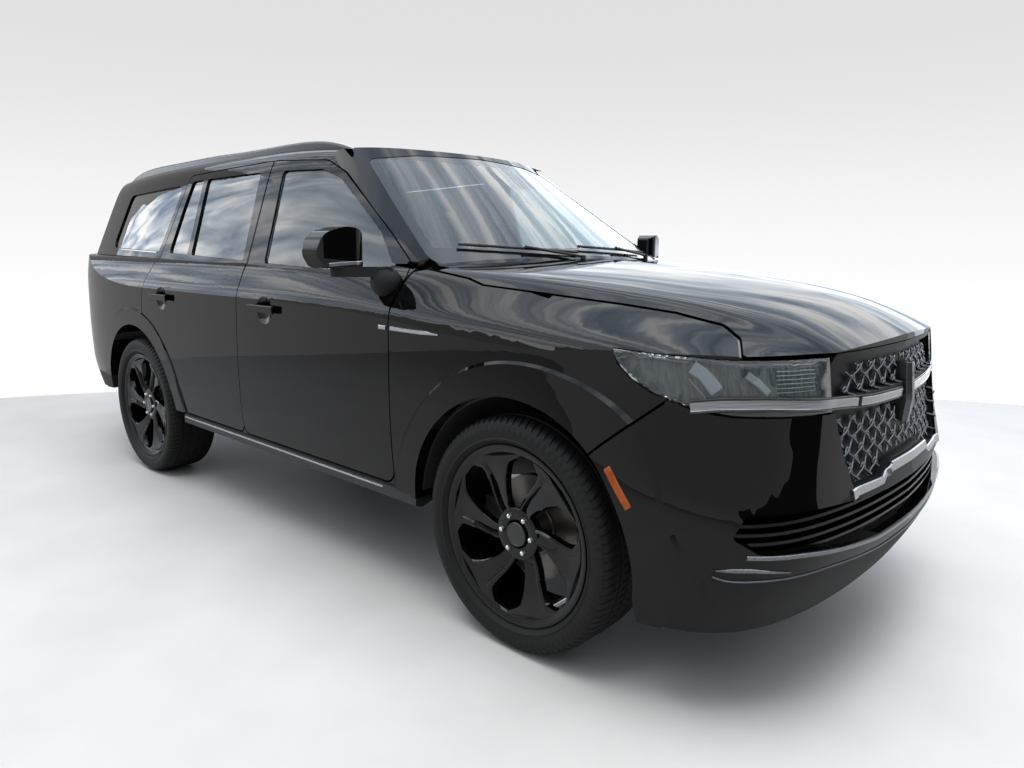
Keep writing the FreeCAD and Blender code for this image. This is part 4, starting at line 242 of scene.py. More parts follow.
def scrim(name, strength):
    """Back-lit cloth with long uneven streaks, as thin high cloud looks."""
    material, tree, shader, place = new_material(name)
    tree.nodes.remove(shader)
    stretched = shader_node(tree, "Mapping", place, Scale=STREAK_STRETCH)
    streaks = shader_node(tree, "TexNoise", stretched, Scale=1000.0 / STREAK_MM, Detail=5.0, Distortion=0.6)
    shades = shader_node(tree, "ValToRGB", streaks,
                         stops=[(0.35, "#8c99ab"), (0.5, "#c3ccd6"), (0.64, "#ffffff")])
    feed(tree, tree.nodes["Material Output"], shader_node(tree, "Emission", shades, Strength=strength))
    return material


studio_card("near_scrim", (-46.0, -7.5), (-2.0, -7.5), 3.4, 10.0, 0.5, scrim("near_scrim_cloth", 5.0))
studio_card("far_scrim", (-20.0, 8.5), (4.0, 8.5), 0.8, 7.0, 0.5, scrim("far_scrim_cloth", 4.4))
canopy = studio_card("canopy_scrim", (-14.0, 0.0), (15.0, 0.0), -14.0, 8.4, 0.5, scrim("canopy_cloth", 3.6))
canopy.matrix_world = Matrix.Translation((0.0, 0.0, 8.0)) @ Matrix.Rotation(math.radians(90), 4, "X")
# Black cotton: it soaks up light, so the nose stays dark where it faces the flag.
black_cloth = surface("black_studio_cloth", "#0c0d0f", "#1c1e22", 300.0, (0.9, 1.0))
studio_card("front_flag", (12.0, -7.5), (12.0, 6.0), 0.0, 2.2, 0.4, black_cloth)

# Body panels: pressed steel and aluminium, sprayed solid black under a clear coat.
# The bumpers and mirror feet are the same, but bare grained plastic below a line.
HANDS = {"right": -1, "left": 1}
ENDS = ("front", "rear")
CREASE = math.radians(32)
PLASTIC_RISE = 0.05
PIT_MM = 2.381


def smooth(item):
    """Shades an object smooth but for its creases."""
    with bpy.context.temp_override(object=item, active_object=item, selected_objects=[item],
                                   selected_editable_objects=[item]):
        bpy.ops.object.shade_smooth_by_angle(angle=CREASE)


def finish_nodes(names, material):
    """Gives CAD nodes their material."""
    for name in names:
        mesh = cad[name].data
        mesh.materials.clear()
        mesh.materials.append(material)


def split_finish(tree, share, elsewhere, there):
    """Shows one shader where the share is 1 and another elsewhere."""
    feed(tree, tree.nodes["Material Output"], shader_node(tree, "MixShader", share, elsewhere, there))


def lacquer(name, plastic_below=None):
    """Black lacquer; below this height, which rises towards the sides, it is bare plastic."""
    # The clear coat does the shining: the black under it has no gloss of its own.
    material = surface(name, "#060607", "#09090a", 9.0, (0.28, 0.34), Coat_Weight=0.5, Coat_Roughness=0.012,
                       Specular_IOR_Level=0.0, Coat_IOR=1.5)
    if plastic_below is None:
        return material
    tree = material.node_tree
    place = shader_node(tree, "TexCoord").outputs["Object"]
    parts = shader_node(tree, "SeparateXYZ", place).outputs
    across = shader_node(tree, "Math", parts["Y"], parts["Y"], operation="MULTIPLY")
    line = shader_node(tree, "Math", across, -PLASTIC_RISE, parts["Z"], operation="MULTIPLY_ADD")
    painted = shader_node(tree, "Math", line, plastic_below, operation="GREATER_THAN")
    # Moulded grain of about 1 mm, drawn coarser so that it shows: a dull, pitted black.
    pits = shader_node(tree, "TexVoronoi", place, Scale=1000.0 / PIT_MM)
    relief = shader_node(tree, "Bump", Height=pits, Strength=0.8, Distance=0.0006)
    plastic = shader_node(tree, "BsdfPrincipled", Base_Color=colour("#121212"), Roughness=0.66,
                          Specular_IOR_Level=0.25, Normal=relief)
    split_finish(tree, painted, plastic, tree.nodes["Principled BSDF"])
    return material


black_paint = lacquer("black_lacquer_over_steel")
finish_nodes(["body_shell", "hood", "front_fenders", "liftgate", "tailgate"], black_paint)
finish_nodes(["door_%s_%s" % (end, hand) for end in ENDS for hand in HANDS], black_paint)
finish_nodes(["front_bumper"], lacquer("black_lacquer_over_bumper", 0.446))
finish_nodes(["rear_bumper"], lacquer("black_lacquer_over_rear_bumper", 0.50))
finish_nodes(["mirror_" + hand for hand in HANDS], lacquer("black_lacquer_over_mirror", 1.285))

# Roof rails: extruded aluminium bars, bolted to the roof. Baked black enamel gives
# them a harder, greyer gloss than the panels.
finish_nodes(["roof_rails"], surface("black_enamel_trim", "#0b0b0c", "#101012", 14.0, (0.12, 0.2)))

# Running boards, wheelhouse liners and wipers: injection-moulded polypropylene and
# rubber. The mould's grain makes them a dull charcoal, a little lighter than the paint.
moulded_black = surface("moulded_polypropylene", "#161617", "#222223", 1.8, (0.55, 0.7), 0.12)
finish_nodes(["running_boards", "wheelhouse_liners", "wipers"], moulded_black)


# Glass: bonded laminated windscreen, tempered front side glass with a light blue-grey
# tint, and dark privacy glass behind. A fired black border hides the bonding.
def glazing(name, tint, border=None):
    """Tinted glass; border holds (lowest z, highest z, side limit, side lean) of the clear field."""
    material, tree, shader, place = new_material(name)
    feed(tree, shader, Base_Color=colour(tint), Roughness=0.0, IOR=1.5, Transmission_Weight=1.0)
    if border is None:
        return material
    low, high, side, lean = border
    parts = shader_node(tree, "SeparateXYZ", place).outputs
    width = shader_node(tree, "Math", parts["Y"], operation="ABSOLUTE")
    leaned = shader_node(tree, "Math", parts["Z"], lean, width, operation="MULTIPLY_ADD")
    fired = shader_node(tree, "Math", leaned, side, operation="GREATER_THAN")
    for operation, limit in (("LESS_THAN", low), ("GREATER_THAN", high)):
        beyond = shader_node(tree, "Math", parts["Z"], limit, operation=operation)
        fired = shader_node(tree, "Math", fired, beyond, operation="MAXIMUM")
    frit = shader_node(tree, "BsdfPrincipled", Base_Color=colour("#0a0a0b"), Roughness=0.12)
    split_finish(tree, fired, shader, frit)
    return material


finish_nodes(["windshield"], glazing("laminated_glass", "#b4c4c6", (1.392, 1.795, 1.312, 0.41)))
finish_nodes(["glass_front_" + hand for hand in HANDS], glazing("tinted_side_glass", "#9fb0b3"))
finish_nodes(["quarter_glass", "roof_glass"] + ["glass_rear_" + hand for hand in HANDS],
             glazing("privacy_glass", "#24282b"))
finish_nodes(["liftgate_glass"], glazing("heated_rear_glass", "#24282b", (1.385, 1.735, 0.896, 0.19)))

# Tyres: carbon-black rubber on 22-inch rims, moulded with four grooves round the
# tread, cross slots in its shoulders and a rib that guards the rim.
AXLES = {"front": 1.672, "rear": -1.440}
WHEEL_Y = 0.856
AXLE_Z = 0.419
BLOCKS = 90
BLOCK_SHARES = (0.0, 0.68, 0.73, 0.95)
SLOTTED_SHARES = (2, 3)
SLANT = 0.9
WALL_SLANT_AT = 0.118
SHOULDER = (0.084, 0.134)
SLOT_DEPTH = 0.0045
MIDDLE_RIBS = (0.006, 0.062)
SIPE_DEPTH = 0.003
WALL_RIBS = (0.375, 0.39)
WALL_RIB_DEPTH = 0.0007
EDGE_ANGLE = math.radians(35)


def fasten(item, body):
    """Lets a piece ride on a body, shaded smooth."""
    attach(item, body)
    smooth(item)
    return item


def add_piece(name, part, material, body, slot, bevel=0.0):
    """Piece made of (vertices, faces), with its edges bevelled this wide."""
    item = mesh_object(name, *part, material)
    work = bmesh.new()
    work.from_mesh(item.data)
    bmesh.ops.recalc_face_normals(work, faces=work.faces)
    work.to_mesh(item.data)
    work.free()
    if bevel:
        edges = item.modifiers.new("edges", "BEVEL")
        edges.width = bevel
        edges.segments = 2
        edges.angle_limit = EDGE_ANGLE
    return fasten(item, body)


def grid_faces(rows, columns, wrap_rows=False, wrap_columns=False):
    """Quads of a grid whose vertices run along the columns first."""
    faces = []
    for i in range(rows if wrap_rows else rows - 1):
        for j in range(columns if wrap_columns else columns - 1):
            a, b = i * columns, (i + 1) % rows * columns
            k = (j + 1) % columns
            faces.append((a + j, a + k, b + k, b + j))
    return faces


def skinned(rings, closed=False):
    """Skin over a row of rings, which joins up with its start or ends in flat caps."""
    verts = [v for ring in rings for v in ring]
    count = len(rings[0])
    faces = grid_faces(len(rings), count, closed, True)
    if not closed:
        faces += [tuple(range(count)), tuple(len(verts) - 1 - i for i in range(count))]
    return verts, faces


def moved(part, place, turn=None):
    """Part turned about its own origin, then moved to a place."""
    verts, faces = part
    return [(turn @ v if turn else v) + Vector(place) for v in verts], faces


def on_wheels(name, part, material, slot, node=None):
    """The same piece on all four wheels, outer side outwards, in place of a CAD node if one is named."""
    for end, axle_x in AXLES.items():
        for hand, side in HANDS.items():
            corner = "_%s_%s" % (end, hand)
            turn = Matrix.Rotation(math.pi, 3, "Z") if side > 0 else None
            piece = add_piece(name + corner, moved(part, (axle_x, side * WHEEL_Y, AXLE_Z), turn), material,
                              "wheel" + corner, slot)
            if node:
                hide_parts(node + corner)


def tyre_profile():
    """Section of (across, radius) from the outboard bead over the tread to the inboard bead."""
    wall = [(0.1106, 0.3060), (0.1156, 0.3222), (0.1230, 0.3252), (0.1290, 0.3300), (0.1345, 0.3352),
            (0.1388, 0.3392), (0.1396, 0.3430), (0.1376, 0.3466), (0.1396, 0.3560), (0.1414, 0.3650),
            (0.1424, 0.3760), (0.1408, 0.3850), (0.1384, 0.3905), (0.1390, 0.3925), (0.1362, 0.3960),
            (0.1330, 0.4010), (0.1268, 0.4070), (0.1180, 0.4120), (0.1080, 0.4152), (0.0960, 0.4172)]
    tread = [(0.0800, 0.4180), (0.0765, 0.4181), (0.0745, 0.4105), (0.0655, 0.4105), (0.0635, 0.4184),
             (0.0480, 0.4187), (0.0325, 0.4188), (0.0305, 0.4112), (0.0215, 0.4112), (0.0195, 0.4189),
             (0.0, 0.4189)]
    half = wall + tread
    return [(-y, r) for y, r in half] + [(y, r) for y, r in reversed(half[:-1])]


def treaded_tyre():
    """Tyre about its own centre; the slots and the fine cuts in its tread slant a little."""
    profile = tyre_profile() + [(0.108, 0.379), (0.0, 0.382), (-0.108, 0.379)]
    rings = []
    for block in range(BLOCKS):
        for place, share in enumerate(BLOCK_SHARES):
            ring = []
            for y, r in profile:
                lean = SLANT * (abs(y) if r > 0.4 else WALL_SLANT_AT)
                angle = 2 * math.pi * ((block + share) / BLOCKS) + lean * (1 if y < 0 else -1)
                cut = 0.0
                if place in SLOTTED_SHARES:
                    if r > 0.396 and SHOULDER[0] < abs(y) < SHOULDER[1]:
                        cut = SLOT_DEPTH
                    elif r > 0.4185 and MIDDLE_RIBS[0] < abs(y) < MIDDLE_RIBS[1]:
                        cut = SIPE_DEPTH
                    elif WALL_RIBS[0] < r < WALL_RIBS[1]:
                        y -= math.copysign(WALL_RIB_DEPTH, y)
                ring.append(Vector(((r - cut) * math.sin(angle), y, (r - cut) * math.cos(angle))))
            rings.append(ring)
    return skinned(rings, closed=True)


# Carbon black and a little bloom: a flat, slightly warm black with no highlight.
rubber = surface("carbon_black_rubber", "#0e0e0e", "#141413", 2.4, (0.55, 0.7), 0.05, Specular_IOR_Level=0.2)
on_wheels("treaded_tyre", treaded_tyre(), rubber, "tyre_rubber", "tyre")

# Road wheels: cast aluminium in gloss black, with six broad twisted spokes, a
# blank centre cap and six bright lug nuts; the iron brake disc turns with them.
SPOKES = 6
SPOKE_TURN = math.radians(-38)
SPOKE_STEPS = 30
SPOKE_STATIONS = [(0.070, 0, 0.030, -0.0955), (0.088, 0, 0.030, -0.0965), (0.110, 2, 0.033, -0.099),
                  (0.140, 6, 0.038, -0.1025), (0.170, 10, 0.044, -0.106), (0.200, 13, 0.051, -0.109),
                  (0.228, 15.5, 0.060, -0.1118), (0.250, 17, 0.071, -0.114), (0.266, 18, 0.087, -0.1158),
                  (0.280, 19, 0.112, -0.1172), (0.294, 19.5, 0.139, -0.1185)]
NUTS = 6
NUT_TURN = math.radians(-28)
STUD_RADIUS = 0.0675
NUT_SIDES = 6
NUT_STEPS = 24
HEX_SWELL = 1.08
HEX_SECTIONS = ((-0.078, 0.0105), (-0.098, 0.0105))
DOME_SECTIONS = ((-0.1015, 0.0088), (-0.1065, 0.0080), (-0.1092, 0.0050), (-0.1100, 0.0006))


def turns(count):
    """Angles spread evenly round a full turn."""
    return [2 * math.pi * i / count for i in range(count)]


def lathe(profile, segments):
    """Closed profile of (along Y, radius) turned about the Y axis."""
    return skinned([[Vector((r * math.sin(a), y, r * math.cos(a))) for y, r in profile]
                    for a in turns(segments)], closed=True)


def joined(parts):
    """One list of vertices and faces from several."""
    verts, faces = [], []
    for more, rings in parts:
        faces += [tuple(i + len(verts) for i in ring) for ring in rings]
        verts += list(more)
    return verts, faces


def spline(stations, share):
    """Smooth values between stations at a share of the way from first to last."""
    at = share * (len(stations) - 1)
    i = min(int(at), len(stations) - 2)
    t = at - i
    a, b, c, d = (stations[max(0, min(len(stations) - 1, i + k))] for k in (-1, 0, 1, 2))
    return [q + 0.5 * t * (r - p + t * (2 * p - 5 * q + 4 * r - s + t * (3 * (q - r) + s - p)))
            for p, q, r, s in zip(a, b, c, d)]


def spoke(index):
    """One twisted spoke: a raised rib on its trailing side beside a sunk facet that
    widens into the pad at the rim, between bevelled flanks. Stations hold the radius,
    turn in degrees, half width and depth; a section holds (share across, depth below)."""
    rings = []
    for i in range(SPOKE_STEPS + 1):
        share = i / SPOKE_STEPS
        r, turn, half, depth = spline(SPOKE_STATIONS, share)
        centre = SPOKE_TURN + math.radians(turn) + index * 2 * math.pi / SPOKES
        fade = max(0.0, 1.0 - max(0.0, share - 0.45) / 0.5)
        rib = -0.62 - 0.16 * share
        valley = -0.30 - 0.28 * share
        bevel = 0.12 if share < 0.8 else 0.06
        section = [(-1.0, 0.022), (-1.0 + bevel, 0.004), (rib, 0.0), (rib + 0.16, 0.0015),
                   (valley, 0.011 * fade), (valley + 0.22, 0.009 * fade), (0.25, 0.0035 * fade),
                   (0.80, 0.0), (1.0 - bevel, 0.003), (1.0, 0.024), (0.72, 0.038), (-0.72, 0.038)]
        ring = []
        for across, down in section:
            angle = centre + across * half / r
            ring.append(Vector((r * math.sin(angle), depth + down, r * math.cos(angle))))
        rings.append(ring)
    return skinned(rings)


def lug_nut(angle):
    """Hexagonal nut with a domed end on its stud circle."""
    place = Vector((STUD_RADIUS * math.sin(angle), 0, STUD_RADIUS * math.cos(angle)))
    flat = math.pi / NUT_SIDES
    rings = []
    for y, r in HEX_SECTIONS + DOME_SECTIONS:
        ring = []
        for a in turns(NUT_STEPS):
            off = (a + flat) % (2 * flat) - flat
            reach = r * math.cos(flat) / math.cos(off) * HEX_SWELL if (y, r) in HEX_SECTIONS else r
            ring.append(place + Vector((reach * math.cos(a), y, reach * math.sin(a))))
        rings.append(ring)
    return skinned(rings)


cast_barrel = lathe([(-0.1250, 0.3205), (-0.1262, 0.3165), (-0.1245, 0.3085), (-0.1200, 0.3015),
                     (-0.1180, 0.2940), (-0.1120, 0.2880), (-0.0950, 0.2900), (-0.0600, 0.2905),
                     (0.0600, 0.2900), (0.1060, 0.2915), (0.1160, 0.3000), (0.1250, 0.3080),
                     (0.1250, 0.3205), (0.1165, 0.3205), (0.1115, 0.3055), (0.0700, 0.2990),
                     (-0.0700, 0.2990), (-0.1110, 0.3055), (-0.1160, 0.3205)], 144)
cast_hub = lathe([(-0.0900, 0.0480), (-0.0952, 0.0520), (-0.0965, 0.0560), (-0.0962, 0.0880),
                  (-0.0935, 0.0925), (-0.0700, 0.0930), (-0.0600, 0.0860), (-0.0010, 0.0760),
                  (-0.0010, 0.0400)], 72)
cast_wheel = joined([cast_barrel, cast_hub] + [spoke(i) for i in range(SPOKES)])
# Enamel under a clear coat: near black, with sharp reflections on the facets.
wheel_black = surface("black_enamel_on_cast_wheel", "#040405", "#070708", 7.0, (0.2, 0.28), Coat_Weight=0.6,
                      Coat_Roughness=0.03, Specular_IOR_Level=0.0)
on_wheels("cast_wheel", cast_wheel, wheel_black, "wheel_paint", "rim")

centre_cap = lathe([(-0.0880, 0.0005), (-0.1030, 0.0005), (-0.1034, 0.0150), (-0.1020, 0.0330),
                    (-0.1022, 0.0365), (-0.1040, 0.0385), (-0.1040, 0.0415), (-0.1015, 0.0440),
                    (-0.0900, 0.0455), (-0.0860, 0.0455)], 72)
# Moulded plastic in gloss black, a shade greyer than the wheel round it.
cap_black = surface("gloss_black_cap", "#101012", "#161618", 5.0, (0.12, 0.18))
on_wheels("centre_cap", centre_cap, cap_black, "wheel_paint")

# Zinc-plated steel: small bright points in the black wheel.
nut_steel = surface("zinc_plated_steel", "#b4b4b0", "#d8d8d4", 2.0, (0.2, 0.34), Metallic=1.0)
on_wheels("lug_nuts", joined([lug_nut(NUT_TURN + a) for a in turns(NUTS)]), nut_steel, "wheel_paint")

vented_disc = lathe([(-0.0080, 0.0950), (0.0000, 0.0990), (0.0000, 0.1890), (0.0010, 0.1900),
                     (0.0100, 0.1900), (0.0105, 0.1800), (0.0175, 0.1800), (0.0180, 0.1900),
                     (0.0270, 0.1900), (0.0280, 0.1890), (0.0280, 0.0990), (0.0200, 0.0900),
                     (-0.0600, 0.0850), (-0.0600, 0.0880), (-0.0100, 0.0890)], 96)
# Grey cast iron, ground by the pads: a dull grey metal with fine rings.
disc_iron = surface("grey_cast_iron_disc", "#5c5a57", "#787571", 1.5, (0.3, 0.48), 0.02, (1.0, 0.05, 1.0),
                    Metallic=1.0)
on_wheels("brake_disc", vented_disc, disc_iron, "wheel_paint")

# Seats: perforated black leather over foam, sewn into flutes between bolsters, with
# piped seams, on moulded shells. Two front, two middle and a rear bench.
SEAT_BASE = 0.62
CUSHION_LENGTH = 0.455
CUSHION_PLACE = (0.325, 0.232, -4)
BACK_LENGTH = 0.575
BACK_PLACE = (0.040, 0.545, -104.5)
HEADREST_PLACE = (-0.055, 0.882, -100)
PAD_STEPS = 44
PAD_SHARES = [math.sin((2 * i / PAD_STEPS - 1) * math.pi / 2) for i in range(PAD_STEPS + 1)]
DRAWN_IN = 0.035
CORNER_ROUND = 0.055
BOLSTER_AT = 0.80
SEAM_AT = 0.63
FLUTED = 0.72
FLUTE_DEPTH = 0.007
SEAM_DEPTH = 0.006
SHELL_THICK = 0.006
PIPING_RADIUS = 0.0028
POST_RADIUS = 0.005
UP = Vector((0, 0, 1))


def hump(value, middle, width):
    """Soft bump of height 1 round a middle."""
    return math.exp(-((value - middle) / width) ** 2)


def pad_point(u, v, length, width, height):
    """Point of a pad at shares along and across, its edges drawn in and its corners rounded."""
    corner = 1 - CORNER_ROUND * (abs(u) * abs(v)) ** 5
    return Vector((u * length / 2 * (1 - DRAWN_IN * (1 - v * v) * u * u) * corner,
                   v * width / 2 * (1 - DRAWN_IN * (1 - u * u) * v * v) * corner, height))


def pad(length, width, thick, bolster, flutes, crown=0.25):
    """Closed crowned form about its centre: length along X, width along Y, a seam round
    its edge, side bolsters, and sewn channels across the middle."""
    verts = []
    for face_side in (1, -1):
        for u in PAD_SHARES:
            for v in PAD_SHARES:
                body = (max(0.0, 1 - abs(u) ** 6) * max(0.0, 1 - abs(v) ** 6)) ** 0.45
                height = thick / 2 * body * (1 + crown * (1 - u * u) * (1 - v * v))
                if face_side > 0:
                    height += bolster * hump(abs(v), BOLSTER_AT, 0.13) * body
                    inner = max(0.0, 1 - (abs(v) / 0.62) ** 8)
                    for k in range(flutes):
                        place = FLUTED * (2 * (k + 0.5) / flutes - 1)
                        height -= FLUTE_DEPTH * inner * hump(u, place, 0.035) * body
                    height -= SEAM_DEPTH * hump(abs(v), SEAM_AT, 0.022) * body
                verts.append(pad_point(u, v, length, width, face_side * height))
    faces = grid_faces(len(PAD_SHARES), len(PAD_SHARES))
    count = len(PAD_SHARES) ** 2
    return verts, faces + [tuple(i + count for i in reversed(ring)) for ring in faces]


def tube(points, radius_a, radius_b, up, closed=False, sides=8):
    """Tube of oval section, radius_b towards up, that joins up or has drawn-in ends."""
    last = len(points) - 1
    rings = []
    for i, point in enumerate(points):
        before, after = (i - 1, (i + 1) % len(points)) if closed else (max(i - 1, 0), min(i + 1, last))
        ahead = (points[after] - points[before]).normalized()
        across = ahead.cross(up).normalized()
        outward = across.cross(ahead)
        size = 0.35 if i in (0, last) and not closed else 1.0
        rings.append([point + (across * radius_a * math.cos(a) + outward * radius_b * math.sin(a)) * size
                      for a in turns(sides)])
    return skinned(rings, closed)


def pad_piping(length, width):
    """Piping that follows the pad's edge seam."""
    shares = PAD_SHARES[:-1]
    edge = ([(-1, s) for s in shares] + [(s, 1) for s in shares] + [(1, -s) for s in shares]
            + [(-s, -1) for s in shares])
    return tube([pad_point(u, v, length, width, 0) for u, v in edge], PIPING_RADIUS, PIPING_RADIUS, UP, True)


def along(table, steps):
    """Points spread evenly along a run of points."""
    points = [Vector(p) for p in table]
    lengths = [0.0]
    for a, b in zip(points, points[1:]):
        lengths.append(lengths[-1] + (b - a).length)
    result = []
    for i in range(steps + 1):
        at = lengths[-1] * i / steps
        for a, b, la, lb in zip(points, points[1:], lengths, lengths[1:]):
            if at <= lb + 1e-9:
                result.append(a.lerp(b, (at - la) / max(lb - la, 1e-9)))
                break
    return result


def sweep(points, normals, profile, scales=None):
    """Closed profile of (across, out) carried along points that lie on a surface."""
    rings = []
    for i, (point, normal) in enumerate(zip(points, normals)):
        normal = normal.normalized()
        ahead = (points[min(i + 1, len(points) - 1)] - points[max(i - 1, 0)]).normalized()
        across = normal.cross(ahead).normalized()
        size = scales[i] if scales else 1.0
        rings.append([point + across * a * size + normal * b for a, b in profile])
    return skinned(rings)


def bar_profile(width, stand, sink=0.002):
    """Slim bar with chamfered edges that stands on a surface."""
    half = width / 2
    edge = min(stand * 0.5, half * 0.5)
    return [(-half, -sink), (-half, stand - edge), (-half + edge, stand), (half - edge, stand),
            (half, stand - edge), (half, -sink)]


def straight(start, end, steps, up, profile):
    """Straight bar of a profile from one point to another."""
    return sweep(along([start, end], steps), [Vector(up)] * (steps + 1), profile)


def seat_shell(width):
    """Bowed sheet behind the back's pad."""
    rows, columns = (-1, -0.9, -0.5, 0, 0.5, 0.9, 1), (-1, -0.94, -0.7, -0.35, 0, 0.35, 0.7, 0.94, 1)
    verts = [Vector((u * 0.27, v * width * 0.46, -0.035 - 0.018 * (1 - v * v)))
             for u in rows for v in columns]
    return verts, grid_faces(len(rows), len(columns))


def seat_frame(x, y, width, heads):
    """Slide rails and risers under a seat, and the posts of its headrests."""
    parts = []
    for side in (-0.38 * width, 0.38 * width):
        parts.append(straight((x + 0.09, y + side, 0.566), (x + 0.47, y + side, 0.566), 4, UP,
                              bar_profile(0.045, 0.05, 0.0)))
        riser_y = y + side * 0.98
        parts.append(straight((x + 0.12, riser_y, 0.60), (x + 0.42, riser_y, 0.60), 4, UP,
                              bar_profile(0.02, 0.20, 0.0)))
    round_post = [(POST_RADIUS * math.cos(a), POST_RADIUS * math.sin(a)) for a in turns(8)]
    for offset in heads:
        for side in (-0.06, 0.06):
            post_y = y + offset + side
            parts.append(straight((x - 0.052, post_y, SEAT_BASE + 0.865),
                                  (x - 0.026, post_y, SEAT_BASE + 0.775), 2, (1, 0, 0), round_post))
    return joined(parts)


def add_seat(name, x, y, width, node, heads=(0.0,)):
    """Cushion, back, headrests, shell, piping and frame of one seat or bench, in place of a CAD node."""
    def leaned(part, place, offset=0.0):
        ahead, above, lean = place
        turn = Matrix.Rotation(math.radians(lean), 3, "Y")
        return moved(part, (x + ahead, y + offset, SEAT_BASE + above), turn)

    pads = {"cushion": leaned(pad(CUSHION_LENGTH, width, 0.120, 0.022, 5), CUSHION_PLACE),
            "back": leaned(pad(BACK_LENGTH, width, 0.105, 0.024, 6), BACK_PLACE)}
    for k, offset in enumerate(heads):
        pads["headrest_%d" % (k + 1)] = leaned(pad(0.150, 0.27, 0.082, 0.0, 0, 0.35), HEADREST_PLACE, offset)
    for pad_name, part in pads.items():
        piece = add_piece(name + "_" + pad_name, part, leather, "body", "seat_leather")
        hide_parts(node)
    shell = add_piece(name + "_shell", leaned(seat_shell(width), BACK_PLACE), shell_plastic, "body",
                      "cabin_plastic")
    rounded = shell.modifiers.new("rounded", "SUBSURF")
    rounded.levels = rounded.render_levels = 1
    shell.modifiers.new("thickness", "SOLIDIFY").thickness = SHELL_THICK
    piping = [leaned(pad_piping(CUSHION_LENGTH, width), CUSHION_PLACE),
              leaned(pad_piping(BACK_LENGTH, width), BACK_PLACE)]
    add_piece(name + "_piping", joined(piping), piping_thread, "body", "seat_leather")
    add_piece(name + "_frame", seat_frame(x, y, width, heads), shell_plastic, "body", "cabin_plastic")


# Leather: a soft brown-black sheen. Its grain and holes of under 1 mm are drawn
# coarser so that they show.
leather = surface("perforated_black_leather", "#1f1c1a", "#2c2825", 2.2, (0.42, 0.58), 0.10)
# Moulded polypropylene: plain, dull and a little bluer than the leather.
shell_plastic = surface("moulded_seat_shell", "#17171a", "#202023", 1.6, (0.5, 0.6), 0.05)
# Waxed thread over cord: a thin line, lighter than the leather.
piping_thread = surface("waxed_seam_piping", "#4a4541", "#5c5650", 1.2, (0.5, 0.65), 0.08)
for hand, side in HANDS.items():
    add_seat("front_seat_" + hand, -0.110, side * 0.4, 0.525, "front_seats")
    add_seat("middle_seat_" + hand, -0.960, side * 0.4, 0.525, "rear_seats")
add_seat("rear_bench", -1.860, 0.0, 1.125, "rear_seats", (-0.40, 0.0, 0.40))

# Grille lattice: moulded ABS, twisted links chromed in a smoked shade, which stands
# before the dark plate in two fields, above and below the light bar.
LATTICE_WIDE = 0.086
LATTICE_HIGH = 0.062
LATTICE_FOOT = 0.66
LATTICE_RISE = 0.42
STRAND_STEPS = 200
STRAND_STAND = 0.0115
STRAND_WEAVE = 0.0035
STRAND_RADII = (0.0042, 0.0030)
STRAND_MARGIN = 0.008
SHORTEST_RUN = 5
CURL_STEPS = 14
CURL_RADIUS = 0.0115
CURL_STAND = 0.0125
CURL_TWIST = 0.0045
CURL_RADII = (0.0046, 0.0034)
CURL_MARGIN = 0.017
AHEAD_OF_NOSE_X = 3.0
AHEAD = Vector((1, 0, 0))
GRILLE_FIELD = [(-0.165, 0.725), (-0.235, 0.675), (-0.450, 0.675), (-0.500, 0.735), (-0.532, 0.800),
                (-0.522, 0.905), (-0.462, 0.975), (-0.420, 1.060), (0.420, 1.060), (0.462, 0.975),
                (0.522, 0.905), (0.532, 0.800), (0.500, 0.735), (0.450, 0.675), (0.235, 0.675),
                (0.165, 0.725)]
LIGHT_BAR_BAND = (0.893, 0.957)
UPRIGHT_BAND = (0.80, 1.03)
UPRIGHT_ROOM = 0.045


def skin_of(*names):
    """Search tree over CAD nodes, for laying pieces on their surface."""
    verts, faces = [], []
    for name in names:
        base = len(verts)
        verts += [v.co.copy() for v in cad[name].data.vertices]
        faces += [[base + i for i in p.vertices] for p in cad[name].data.polygons]
    return BVHTree.FromPolygons(verts, faces)


grille_skin = skin_of("grille")


def inside(outline, y, z, margin):
    """True where a point lies inside an outline, this far from its edges."""
    crossings = 0
    for (ay, az), (by, bz) in zip(outline, outline[1:] + outline[:1]):
        if (az > z) != (bz > z) and y < ay + (z - az) / (bz - az) * (by - ay):
            crossings += 1
        edge = Vector((by - ay, bz - az))
        reach = Vector((y - ay, z - az))
        t = max(0.0, min(1.0, reach.dot(edge) / max(edge.length_squared, 1e-9)))
        if (reach - edge * t).length < margin:
            return False
    return crossings % 2 == 1


def grille_point(y, z, stand):
    """Point this far ahead of the grille's plate, or None outside the two fields."""
    if not inside(GRILLE_FIELD, y, z, STRAND_MARGIN) or LIGHT_BAR_BAND[0] < z < LIGHT_BAR_BAND[1]:
        return None
    if abs(y) < UPRIGHT_ROOM and UPRIGHT_BAND[0] < z < UPRIGHT_BAND[1]:
        return None
    place = grille_skin.ray_cast(Vector((AHEAD_OF_NOSE_X, y, z)), -AHEAD)[0]
    return None if place is None else place + AHEAD * stand


def lattice_strand(start_y, rise):
    """Runs of one diagonal strand, which passes over and under the crossing ones."""
    runs, run = [], []
    for i in range(STRAND_STEPS + 1):
        z = LATTICE_FOOT + LATTICE_RISE * i / STRAND_STEPS
        y = start_y + rise * (z - LATTICE_FOOT) * LATTICE_WIDE / LATTICE_HIGH
        phase = (z - LATTICE_FOOT) / LATTICE_HIGH * 2 * math.pi
        point = grille_point(y, z, STRAND_STAND + STRAND_WEAVE * math.cos(phase) * rise)
        if point is None:
            runs.append(run)
            run = []
        elif i % 2 == 0:
            run.append(point)
    return [run for run in runs + [run] if len(run) >= SHORTEST_RUN]


